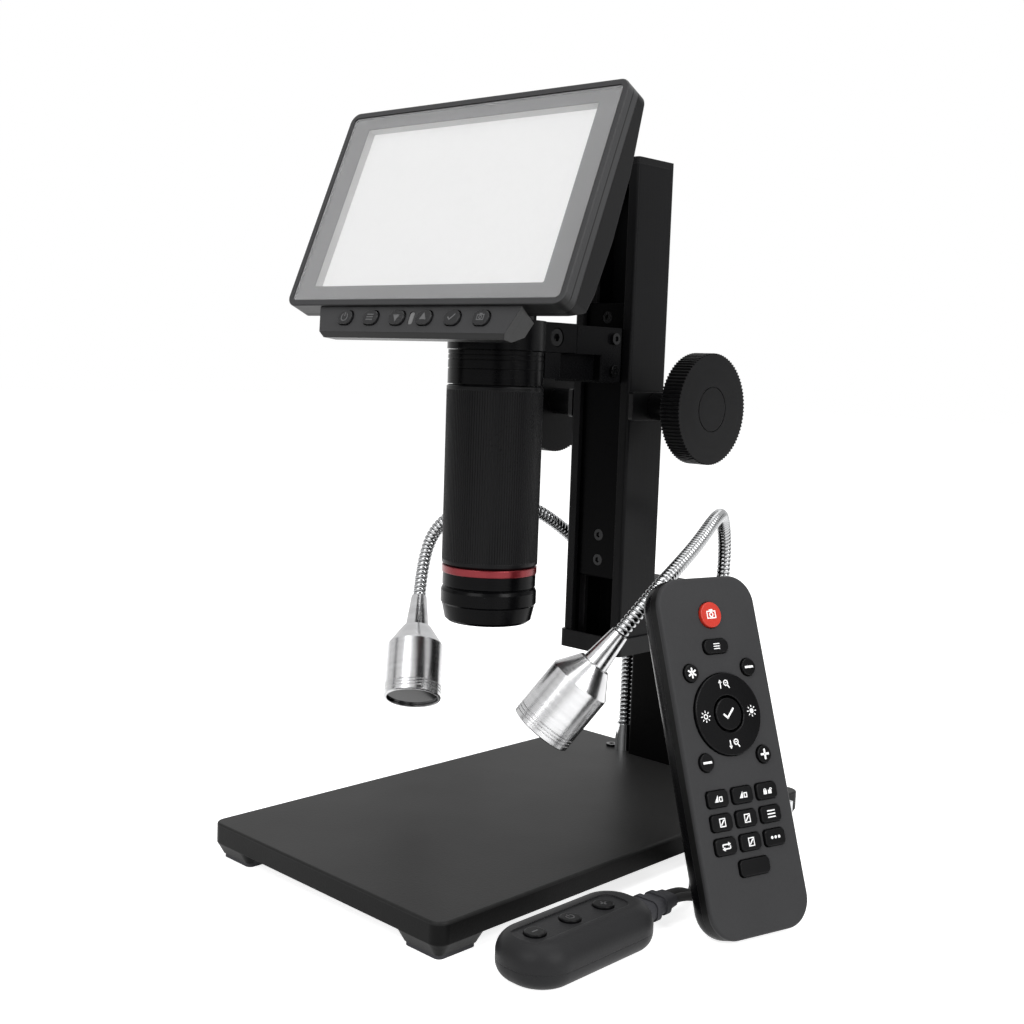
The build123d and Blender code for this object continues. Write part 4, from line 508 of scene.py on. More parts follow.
@dataclass(frozen=True)
class DrawnFinish(Finish):
    """Finish of an extruded or rolled piece: fine lines along its length."""

    stretch: Point = (1.0, 1.0, 0.02)

    def relief(self, tree: bpy.types.NodeTree, shader: bpy.types.Node) -> None:
        """Grain drawn out along the length.

        Args:
            tree: the material's nodes.
            shader: its Principled node.
        """
        place = tree.nodes.new("ShaderNodeTexCoord")
        turn = tree.nodes.new("ShaderNodeMapping")
        turn.inputs["Scale"].default_value = self.stretch
        grain = self._group(tree, Effects.grain())
        grain.inputs["Scale"].default_value = self.grain_scale
        tree.links.new(place.outputs["Object"], turn.inputs["Vector"])
        tree.links.new(turn.outputs["Vector"], grain.inputs["Vector"])
        self.bump(tree, shader, grain.outputs["Height"], self.grain_depth)


@dataclass(frozen=True)
class GlassFinish(Finish):
    """Clear glass, tinted by its colour."""

    ior: float = 1.5

    def dress(self, material: bpy.types.Material) -> None:
        """Clear body with faint smears that change its gloss a little.

        Args:
            material: the new material, with its Principled node.
        """
        super().dress(material)
        shader = material.node_tree.nodes["Principled BSDF"]
        shader.inputs["Transmission Weight"].default_value = 1.0
        shader.inputs["IOR"].default_value = self.ior

    def relief(self, tree: bpy.types.NodeTree, shader: bpy.types.Node) -> None:
        """Polished glass has no relief."""


@dataclass(frozen=True)
class LitFinish(Finish):
    """Backlit surface: it glows in its own uneven colour."""

    glow: float = 0.9
    body: float = 0.3

    def dress(self, material: bpy.types.Material) -> None:
        """The same uneven colour that shows by reflection also glows.

        Args:
            material: the new material, with its Principled node.
        """
        super().dress(material)
        tree = material.node_tree
        shader = tree.nodes["Principled BSDF"]
        source = shader.inputs["Base Color"].links[0].from_socket
        tree.links.new(source, shader.inputs["Emission Color"])
        shader.inputs["Emission Strength"].default_value = self.glow
        body = tree.nodes.new("ShaderNodeVectorMath")
        body.operation = "SCALE"
        body.inputs["Scale"].default_value = self.body
        tree.links.new(source, body.inputs[0])
        tree.links.new(body.outputs[0], shader.inputs["Base Color"])


@dataclass(frozen=True)
class JointAndShadeFinish(Finish):
    """Moulded finish with dark bands at set depths behind a plane: narrow bands are parting grooves, broad bands are
    painted shade.
    """

    centre: Point = (0.0, 0.0, 0.0)
    axis: Point = (0.0, 0.0, 1.0)
    depths: tuple[float, ...] = (-2.4,)
    half_width: float = 0.22
    joint_and_shade_colour: str = "#060606"
    under: float = 0.0
    under_from: float = -0.05
    under_full: float = -0.45

    def relief(self, tree: bpy.types.NodeTree, shader: bpy.types.Node) -> None:
        """Grain, and dark bands where the depth behind the plane is near one of those set: grooves where narrow,
        painted shade where broad.

        Args:
            tree: the material's nodes.
            shader: its Principled node.
        """
        super().relief(tree, shader)
        turn = self._axis_frame(tree, self.centre, self.axis)
        parts = tree.nodes.new("ShaderNodeSeparateXYZ")
        tree.links.new(turn.outputs["Vector"], parts.inputs[0])
        last = None
        for depth in self.depths:
            near = tree.nodes.new("ShaderNodeMath")
            near.operation = "COMPARE"
            near.inputs[1].default_value = depth * MM
            near.inputs[2].default_value = self.half_width * MM
            tree.links.new(parts.outputs["Z"], near.inputs[0])
            if last is not None:
                either = tree.nodes.new("ShaderNodeMath")
                either.operation = "MAXIMUM"
                tree.links.new(last, either.inputs[0])
                tree.links.new(near.outputs[0], either.inputs[1])
                near = either
            last = near.outputs[0]
        self._tint(tree, shader, last, self.joint_and_shade_colour)
        if self.under:
            self.shade_under(tree, shader)

    def shade_under(self, tree: bpy.types.NodeTree, shader: bpy.types.Node) -> None:
        """Painted shade: darker where the surface turns down.

        Args:
            tree: the material's nodes.
            shader: its Principled node.
        """
        place = tree.nodes.new("ShaderNodeTexCoord")
        parts = tree.nodes.new("ShaderNodeSeparateXYZ")
        tree.links.new(place.outputs["Normal"], parts.inputs[0])
        share = tree.nodes.new("ShaderNodeMapRange")
        share.inputs["From Min"].default_value = self.under_from
        share.inputs["From Max"].default_value = self.under_full
        share.inputs["To Max"].default_value = self.under
        tree.links.new(parts.outputs["Z"], share.inputs["Value"])
        self._tint(tree, shader, share.outputs["Result"], self.joint_and_shade_colour)


@dataclass(frozen=True)
class WoundFinish(Finish):
    """Finish of a wound strip: its grooves, held in an attribute, are darkened with painted shade."""

    attribute: str = "groove"
    joint_and_shade_colour: str = "#1c1c1d"

    def relief(self, tree: bpy.types.NodeTree, shader: bpy.types.Node) -> None:
        """Faint grain, and painted shade in the grooves where the attribute says.

        Args:
            tree: the material's nodes.
            shader: its Principled node.
        """
        super().relief(tree, shader)
        groove = tree.nodes.new("ShaderNodeAttribute")
        groove.attribute_name = self.attribute
        self._tint(tree, shader, groove.outputs["Fac"], self.joint_and_shade_colour)


@dataclass(frozen=True)
class PlugFinish(Finish):
    """Moulded plug whose end, past a plane across the piece, is bare metal."""

    metal_from: float = 96.0
    metal_colour: str = "#c9cacb"

    def relief(self, tree: bpy.types.NodeTree, shader: bpy.types.Node) -> None:
        """Metal colour and gloss past the plane, grain before it.

        Args:
            tree: the material's nodes.
            shader: its Principled node.
        """
        super().relief(tree, shader)
        place = tree.nodes.new("ShaderNodeTexCoord")
        parts = tree.nodes.new("ShaderNodeSeparateXYZ")
        past = tree.nodes.new("ShaderNodeMath")
        past.operation = "GREATER_THAN"
        past.inputs[1].default_value = self.metal_from * MM
        tree.links.new(place.outputs["Object"], parts.inputs[0])
        tree.links.new(parts.outputs["Y"], past.inputs[0])
        self._tint(tree, shader, past.outputs[0], self.metal_colour)
        tree.links.new(past.outputs[0], shader.inputs["Metallic"])


def screen_facing() -> Point:
    """Direction in which the screen faces: turned by its yaw, then tilted up."""
    yaw, tilt = radians(SCREEN_YAW), radians(SCREEN_TILT)
    return sin(yaw) * cos(tilt), -cos(yaw) * cos(tilt), sin(tilt)


def screen_centre() -> Point:
    """Middle of the screen's face, as far from the optical axis as its reach."""
    yaw = radians(SCREEN_YAW)
    return SCREEN_REACH * sin(yaw), -SCREEN_REACH * cos(yaw), SCREEN_HEIGHT


# The base's edge, from 1 to 13 mm below the stage, is one broad band of painted shade: it is darker than the top.
BLACK_PAINT = JointAndShadeFinish("black_satin_paint", "#1b1b1b", 0.42, specular=0.08, depths=(-7.0,), half_width=6.0,
                            tone=0.10, tone_scale=14, spread=0.05, grain_scale=1500, grain_depth=0.00004,
                            edge=0.0005, dust=0.03)
# The post's paint is a darker copy of the base's: painted shade for the post under the column.
POST_SHADED_PAINT = Finish("black_post_painted_shade", "#080808", 0.42, specular=0.03, grain_scale=1500, grain_depth=0.00004,
                    edge=0.0005)
COLUMN_BLACK = DrawnFinish("black_drawn_aluminium", "#111112", 0.36, specular=0.07, tone=0.08, grain_scale=2200,
                           grain_depth=0.00003, edge=0.0004)
ARM_BLACK = Finish("black_milled_arm", "#080809", 0.28, specular=0.05, grain_scale=1800, grain_depth=0.00002,
                   edge=0.0004)
TUBE_BLACK = TurnedFinish("black_turned_tube", "#060607", 0.22, specular=0.06, tone=0.08, lines=2600,
                          line_depth=0.00002, band=0.25)
SLEEVE_BLACK = Finish("black_ribbed_sleeve", "#0d0d0e", 0.30, specular=0.10, tone=0.06, tone_scale=30,
                      grain_scale=2600, grain_depth=0.00001, edge=0.0001)
KNOB_BLACK = TurnedFinish("black_turned_knob", "#0e0e0f", 0.32, specular=0.08, centre=(0, 72.3, 153.6),
                          axis=(1, 0, 0), lines=2400, line_depth=0.00003, band=0.2)
BEARING_BLACK = Finish("black_bearing_blocks", "#0d0d0e", 0.35, specular=0.2, grain_scale=1800)
RED_METAL = TurnedFinish("red_anodised_ring", "#741f25", 0.24, metallic=0.6, specular=0.5, lines=4000,
                         line_depth=0.00001, band=0.1)
CHROME = TurnedFinish("bright_chrome", "#d9dadb", 0.10, metallic=1.0, tone=0.04, spread=0.02, lines=1200,
                      line_depth=0.000006, edge=0.0002)
# The wound necks' grooves get painted shade from their groove attribute.
GOOSENECK_CHROME = WoundFinish("gooseneck_chrome", "#a9aaab", 0.12, metallic=1.0, tone=0.06, tone_scale=120,
                               spread=0.04, grain_scale=3000, grain_depth=0.000004, edge=0.0001)
SCREW_BLACK = Finish("black_oxide_screws", "#161617", 0.14, metallic=0.7, specular=0.5, edge=0.0002)
SLIDE_BLACK = DrawnFinish("black_slide_bar", "#050506", 0.30, specular=0.03, tone=0.08, grain_depth=0.00002)
RACK_BRASS = DrawnFinish("rack_brass", "#b58d3f", 0.30, metallic=1.0, grain_depth=0.00002, stretch=(0.05, 1, 1))
STEEL = DrawnFinish("ground_steel", "#9c9da0", 0.30, metallic=1.0, grain_depth=0.00002, stretch=(0.05, 1, 1))
# Its narrow bands are dark parting grooves; where it turns down it gets painted shade.
FRAME_PLASTIC = JointAndShadeFinish("dark_frame_plastic", "#343435", 0.38, specular=0.18, tone=0.08, tone_scale=30,
                              grain_scale=2400, grain_depth=0.00003, edge=0.0004, centre=screen_centre(),
                              axis=screen_facing(), depths=(-2.6, -5.4), under=0.9)
BLACK_PLASTIC = Finish("black_moulded_plastic", "#0d0d0e", 0.38, specular=0.12, tone=0.08, tone_scale=30,
                       grain_scale=2400, grain_depth=0.00003, edge=0.0004)
BUTTON_PLASTIC = Finish("dark_button_plastic", "#1e1e1f", 0.28, specular=0.24, grain_scale=3200,
                        grain_depth=0.00002, edge=0.0003)
GLOSS_BLACK = Finish("gloss_black_keys", "#070708", 0.22, specular=0.10, coat=0.04, grain_scale=3000,
                     grain_depth=0.00001, edge=0.0003)
GUIDE_NYLON = Finish("dark_guide_nylon", "#2a2a2b", 0.45, specular=0.3, grain_scale=1800)
# The remote's sides, from 1.4 mm behind its face, are darker with painted shade, in the same way as the base's edge.
CHARCOAL = JointAndShadeFinish("charcoal_remote_plastic", "#313132", 0.46, specular=0.10, depths=(-7.2,), half_width=5.8,
                         tone=0.08, tone_scale=25, grain_scale=2200, grain_depth=0.00003, edge=0.0005)
REMOTE_BACK = Finish("remote_back_plastic", "#050506", 0.26, specular=0.08, grain_scale=2600,
                     grain_depth=0.00001, edge=0.0005)
RED_KEY = Finish("red_key_plastic", "#b02c1e", 0.32, specular=0.3, grain_scale=3000, grain_depth=0.00001)
BLACK_RUBBER = Finish("black_rubber", "#161616", 0.55, specular=0.2, tone=0.12, grain_scale=1600,
                      grain_depth=0.00005, edge=0.0003)
KEY_RUBBER = Finish("black_key_rubber", "#09090a", 0.32, specular=0.10, grain_scale=2600, grain_depth=0.00002)
CONTROLLER_PLASTIC = Finish("soft_black_plastic", "#202021", 0.46, specular=0.12, tone=0.10, tone_scale=60,
                            grain_scale=1500, grain_depth=0.00005, edge=0.0006)
CORD_SHEATH = Finish("cord_sheath", "#151516", 0.40, specular=0.25, grain_scale=1400, grain_depth=0.00004)
CIRCUIT_GREEN = Finish("circuit_board_green", "#1f5a35", 0.35, specular=0.5, tone=0.25, tone_scale=220,
                       grain_scale=900, grain_depth=0.00004)
CIRCUIT_BLACK = Finish("circuit_board_black", "#0c0d0d", 0.40, specular=0.2, tone=0.25, tone_scale=220,
                       grain_scale=900, grain_depth=0.00004)
CELL_STEEL = TurnedFinish("cell_steel", "#b9bbbd", 0.28, metallic=1.0)
PLUG = PlugFinish("plug_plastic", "#151516", 0.38, specular=0.25, grain_scale=2200)
LENS_DARK = Finish("dark_lens", "#0b0c0e", 0.12, specular=0.12, coat=0.05, coat_roughness=0.03, grain_depth=0.000001)
WINDOW_GLASS = GlassFinish("window_glass", "#ffffff", 0.01, spread=0.005, tone=0.0, ior=1.45)
OBJECTIVE_GLASS = GlassFinish("objective_glass", "#e9eef2", 0.01, spread=0.005, tone=0.02, ior=1.52)
# The border's mid grey is painted reflection: it stands in for the white surround seen in a glossy black border.
BORDER_REFLECTION_GREY = Finish("window_border_painted_reflection", "#7b7b7c", 0.35, specular=0.2, tone=0.03, tone_scale=20,
                   grain_depth=0.000005)
WELL_GREY = Finish("display_well_grey", "#c0c0c0", 0.5, specular=0.2, tone=0.02, grain_depth=0.00001)
DISPLAY = LitFinish("backlit_display", "#f0f0f0", 0.4, specular=0.1, tone=0.02, tone_scale=9, spread=0.02,
                    grain_scale=6000, grain_depth=0.000002, glow=0.62)
STATUS_WINDOW = LitFinish("status_window", "#a8a8a8", 0.35, tone=0.05, glow=0.10)
EDGE_GREY = Finish("polished_glass_edge", "#8e8e8f", 0.2, specular=0.5, tone=0.05, grain_depth=0.000002)
ICON_WHITE = Finish("white_key_print", "#e9e9e9", 0.45, tone=0.04, grain_depth=0.000005, edge=0.0001)
# The button symbols' grey is painted highlight: it stands in for light caught by the engraved symbols' edges.
BUTTON_SYMBOL_HIGHLIGHT = Finish("button_symbol_painted_highlight", "#5c5c5d", 0.4, specular=0.2, tone=0.05, grain_depth=0.000005, edge=0.0001)
# The pad icons' grey is painted highlight: it stands in for light caught by the edges of the moulded icons.
PAD_ICON_HIGHLIGHT = Finish("pad_icon_painted_highlight", "#4a4a4b", 0.3, specular=0.3, tone=0.05, grain_depth=0.000005, edge=0.0001)


def lamp_aluminium(name: str, rim: Point, aim: Point) -> TurnedFinish:
    """Turned aluminium round one lamp's axis."""
    return TurnedFinish(name, "#c4c4c5", 0.20, metallic=1.0, tone=0.04, spread=0.05, centre=rim, axis=aim,
                        lines=3000, line_depth=0.00002, band=0.10, edge=0.0003)


# ---------------------------------------------------------------- shapes
@dataclass(frozen=True)
class LocalPlane:
    """Plane in the model's frame: an origin, an across direction and a normal, in millimetres."""

    origin: Point
    across: Point
    normal: Point

    def place(self, points: np.ndarray) -> np.ndarray:
        """Put (across, up, out) rows into the model's frame, in metres.

        Args:
            points: rows in millimetres on the plane.

        Returns:
            Rows in metres in the model's frame.
        """
        across = np.array(self.across, float)
        across = across / np.linalg.norm(across)
        normal = np.array(self.normal, float)
        normal = normal / np.linalg.norm(normal)
        up = np.cross(normal, across)
        axes = np.array([across, up, normal])
        return (np.array(self.origin, float) + points @ axes) * MM

    def moved(self, across: float, up: float, out: float, turn: float = 0.0) -> "LocalPlane":
        """The same plane with its origin moved on it, and turned about its normal by degrees.

        Args:
            across: step along its first axis, in millimetres.
            up: step along its second.
            out: step along its normal.
            turn: counter-clockwise turn in degrees.

        Returns:
            The moved plane.
        """
        origin = self.place(np.array([[across, up, out]], float))[0] / MM
        first = np.array(self.across, float) / np.linalg.norm(self.across)
        normal = np.array(self.normal, float) / np.linalg.norm(self.normal)
        second = np.cross(normal, first)
        angle = radians(turn)
        turned = first * cos(angle) + second * sin(angle)
        return LocalPlane(tuple(origin), tuple(turned), self.normal)


def mesh_object(name: str, points: np.ndarray, faces: Sequence[Sequence[int]], finish: Finish,
                smooth: bool = False) -> bpy.types.Object:
    """Object whose mesh holds the points, in metres in the model's frame, at the origin.

    Args:
        name: the piece's name.
        points: rows of coordinates.
        faces: vertex numbers of each face.
        finish: what it is finished with.
        smooth: shade its faces smooth.

    Returns:
        The object, linked to the scene.
    """
    mesh = bpy.data.meshes.new(name)
    mesh.from_pydata(points, [], faces)
    mesh.update()
    if smooth:
        mesh.shade_smooth()
    mesh.materials.append(finish.build())
    made = bpy.data.objects.new(name, mesh)
    bpy.context.scene.collection.objects.link(made)
    return made


def grid_faces(rows: int, columns: int, wrap_rows: bool = False, wrap_columns: bool = True) -> np.ndarray:
    """Quads between neighbours of a grid of points numbered row by row.

    Args:
        rows: how many rows of points.
        columns: how many points in a row.
        wrap_rows: join the last row to the first.
        wrap_columns: join the last point of a row to its first.

    Returns:
        One row of four point numbers for each quad.
    """
    row = np.arange(rows if wrap_rows else rows - 1)[:, None]
    column = np.arange(columns if wrap_columns else columns - 1)[None, :]
    after, beside = (row + 1) % rows, (column + 1) % columns
    corners = [row * columns + column, row * columns + beside, after * columns + beside, after * columns + column]
    return np.stack([np.broadcast_to(c, (row.size, column.size)) for c in corners], -1).reshape(-1, 4)


def rounded_outline(width: float, height: float, corner: float, steps: int = 8) -> np.ndarray:
    """Rectangle with round corners, counter-clockwise: a quarter circle at each corner, in order.

    Args:
        width: whole width.
        height: whole height.
        corner: radius of the corners.
        steps: points on each corner.

    Returns:
        Rows of x and y, in the unit given.
    """
    turn = np.linspace(0, pi / 2, steps)
    quarters = []
    for k, (side, end) in enumerate(((1, 1), (-1, 1), (-1, -1), (1, -1))):
        angle = turn + k * pi / 2
        quarters.append(np.stack([side * (width / 2 - corner) + corner * np.cos(angle),
                                  end * (height / 2 - corner) + corner * np.sin(angle)], -1))
    return np.concatenate(quarters)


def level(outline: np.ndarray, out: float, shift: tuple[float, float] = (0.0, 0.0)) -> np.ndarray:
    """Outline lifted to a height out of its plane, and shifted on it."""
    return np.column_stack([outline + np.array(shift), np.full(len(outline), out)])


def lofted_plate(name: str, plane: LocalPlane, loops: Sequence[np.ndarray], finish: Finish,
                 open_middle: bool = False) -> bpy.types.Object:
    """Closed solid through loops of equal length: its skin joins each loop to the next.

    Args:
        name: the piece's name.
        plane: where its loops lie.
        loops: rows of (across, up, out) in millimetres, in order round the section.
        finish: what it is finished with.
        open_middle: join the last loop to the first, as for a frame, in place of two end faces.

    Returns:
        The object.
    """
    count, size = len(loops), len(loops[0])
    points = plane.place(np.concatenate(loops))
    faces = grid_faces(count, size, wrap_rows=open_middle).tolist()
    if not open_middle:
        faces.append(list(range(size))[::-1])
        faces.append(list(range((count - 1) * size, count * size)))
    return mesh_object(name, points, faces, finish)


def spline_points(name: str, route: Sequence[Point], resolution: int = 40) -> np.ndarray:
    """Points of the smooth line that a route steers, read from its NURBS spline.

    Args:
        name: name of the passing curve.
        route: control points in millimetres.
        resolution: points for each span.

    Returns:
        Rows in metres.
    """
    data = bpy.data.curves.new(name, "CURVE")
    data.dimensions = "3D"
    spline = data.splines.new("NURBS")
    spline.points.add(len(route) - 1)
    for point, place in zip(spline.points, route):
        point.co = (*[value * MM for value in place], 1.0)
    spline.order_u = 3
    spline.use_endpoint_u = True
    data.resolution_u = resolution
    carrier = bpy.data.objects.new(name, data)
    bpy.context.scene.collection.objects.link(carrier)
    bpy.context.view_layer.update()
    line = bpy.data.meshes.new_from_object(carrier)
    points = np.zeros(len(line.vertices) * 3)
    line.vertices.foreach_get("co", points)
    bpy.data.objects.remove(carrier)
    bpy.data.curves.remove(data)
    bpy.data.meshes.remove(line)
    return points.reshape(-1, 3)


def even_line(points: np.ndarray, count: int) -> tuple[np.ndarray, np.ndarray, float]:
    """The line at even steps: place and direction of each step, and the whole length.

    Args:
        points: rows of x, y and z.
        count: number of steps wanted.

    Returns:
        Places, unit directions and length, in the points' unit.
    """
    steps = np.linalg.norm(np.diff(points, axis=0), axis=1)
    run = np.concatenate([[0.0], np.cumsum(steps)])
    wanted = np.linspace(0, run[-1], count)
    place = np.column_stack([np.interp(wanted, run, points[:, k]) for k in range(3)])
    direction = np.gradient(place, axis=0)
    direction /= np.linalg.norm(direction, axis=1)[:, None]
    return place, direction, float(run[-1])


def tube_along(name: str, line: tuple[np.ndarray, np.ndarray, float], radius: np.ndarray, side: Point,
               finish: Finish, groove: np.ndarray) -> bpy.types.Object:
    """Round skin about a line, closed at its ends.

    Each ring's point is the line's place plus the radius there times cos and sin of the angle along two
    directions across the line: one nearest to a fixed side, and their cross product.

    Args:
        name: the piece's name.
        line: place and direction at even steps, and the length.
        radius: radius at each step and angle, in metres.
        side: fixed direction that is nowhere along the line.
        finish: what it is finished with.
        groove: how deep in a groove each step and angle lies, from 0 to 1, kept as an attribute that the finish turns
            into painted shade.

    Returns:
        The object.
    """
    place, direction, _ = line
    first = np.array(side, float) - (direction @ np.array(side, float))[:, None] * direction
    first /= np.linalg.norm(first, axis=1)[:, None]
    second = np.cross(direction, first)
    count, around = radius.shape
    angle = np.arange(around) * 2 * pi / around
    ring = first[:, None] * np.cos(angle)[None, :, None] + second[:, None] * np.sin(angle)[None, :, None]
    skin = (place[:, None] + radius[..., None] * ring).reshape(-1, 3)
    points = np.vstack([skin, place[:1], place[-1:]])
    faces = grid_faces(count, around).tolist()
    low, high = count * around, count * around + 1
    faces += [[low, (k + 1) % around, k] for k in range(around)]
    top = (count - 1) * around
    faces += [[high, top + k, top + (k + 1) % around] for k in range(around)]
    made = mesh_object(name, points, faces, finish, smooth=True)
    depth = made.data.attributes.new("groove", "FLOAT", "POINT")
    depth.data.foreach_set("value", np.concatenate([groove.ravel(), [0.0, 0.0]]).astype(np.float32))
    return made


@dataclass
class KeySymbol:
    """Thin raised symbol made of bars, rings and patches on a plane, in millimetres."""

    plane: LocalPlane
    low: float = -0.02
    high: float = 0.06
    points: list[np.ndarray] = field(default_factory=list)
    faces: list[list[int]] = field(default_factory=list)
    count: int = 0

    def _add(self, loops: Sequence[np.ndarray], closed: bool) -> None:
        """Add a strip whose section is four loops, closed on itself or with two end faces.

        Args:
            loops: four rows of x, y and z of equal length.
            closed: whether the strip comes back to its start.
        """
        stacked = np.stack(loops, 1)
        rows = len(stacked)
        made = grid_faces(rows, 4, wrap_rows=closed) + self.count
        self.faces += made.tolist()
        if not closed:
            last = self.count + (rows - 1) * 4
            self.faces.append([self.count + k for k in (3, 2, 1, 0)])
            self.faces.append([last + k for k in range(4)])
        self.points.append(stacked.reshape(-1, 3))
        self.count += rows * 4

    def strip(self, left: np.ndarray, right: np.ndarray, closed: bool = False) -> "KeySymbol":
        """Raised strip between two edges of equal length.

        Args:
            left: rows of x and y along one edge.
            right: the same along the other edge.
            closed: whether the strip comes back to its start.

        Returns:
            The same pen, for the next stroke.
        """
        self._add([level(left, self.high), level(left, self.low), level(right, self.low), level(right, self.high)],
                  closed)
        return self

    def bar(self, ends: Sequence[float], width: float) -> "KeySymbol":
        """Straight bar from (x, y) to (x, y).

        Args:
            ends: x and y of its start, then of its end.
            width: its width.

        Returns:
            The same pen, for the next stroke.
        """
        start, stop = np.array(ends[:2], float), np.array(ends[2:], float)
        run = (stop - start) / np.linalg.norm(stop - start)
        across = np.array([-run[1], run[0]]) * width / 2
        line = np.array([start, stop])
        return self.strip(line + across, line - across)

    def arc(self, centre: Sequence[float], radius: float, width: float, start: float = 0.0,
            stop: float = 360.0) -> "KeySymbol":
        """Ring or part of one, from a start to a stop angle in degrees.

        Args:
            centre: its middle.
            radius: radius of its middle line.
            width: its width.
            start: angle where it starts.
            stop: angle where it ends.

        Returns:
            The same pen, for the next stroke.
        """
        closed = stop - start >= 360
        angle = np.radians(np.linspace(start, stop, ARC_STEPS + 1)[: ARC_STEPS if closed else ARC_STEPS + 1])
        unit = np.column_stack([np.cos(angle), np.sin(angle)])
        middle = np.array(centre, float)
        return self.strip(middle + unit * max(radius - width / 2, 0.01), middle + unit * (radius + width / 2), closed)

    def patch(self, corners: Sequence[Sequence[float]]) -> "KeySymbol":
        """Filled shape with corners counter-clockwise, as a strip from its first half to its second.

        Args:
            corners: x and y of each corner.

        Returns:
            The same pen, for the next stroke.
        """
        ring = np.array(corners, float)
        if len(ring) % 2:
            ring = np.vstack([ring, (ring[-1] + ring[0]) / 2])
        half = len(ring) // 2
        return self.strip(ring[half:][::-1], ring[:half])

    def box(self, centre: Sequence[float], size: Sequence[float], width: float) -> "KeySymbol":
        """Outline of a rectangle.

        Args:
            centre: its middle.
            size: outer width and height.
            width: width of its line.

        Returns:
            The same pen, for the next stroke.
        """
        corners = np.array([(1, 1), (-1, 1), (-1, -1), (1, -1)], float)
        middle, reach = np.array(centre, float), np.array(size, float) / 2
        return self.strip(middle + corners * (reach - width), middle + corners * reach, True)

    def finish(self, name: str, finish: Finish, body: str, slot: str) -> bpy.types.Object:
        """Make the mesh and let it ride on its key's body.

        Args:
            name: the piece's name.
            finish: what it is printed or moulded in.
            body: body of the key.
            slot: not used.

        Returns:
            The object.
        """
        points = self.plane.place(np.concatenate(self.points))
        made = mesh_object(name, points, self.faces, finish)
        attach(made, body)
        LOG.info("symbol %s on %s", name, body)
        return made


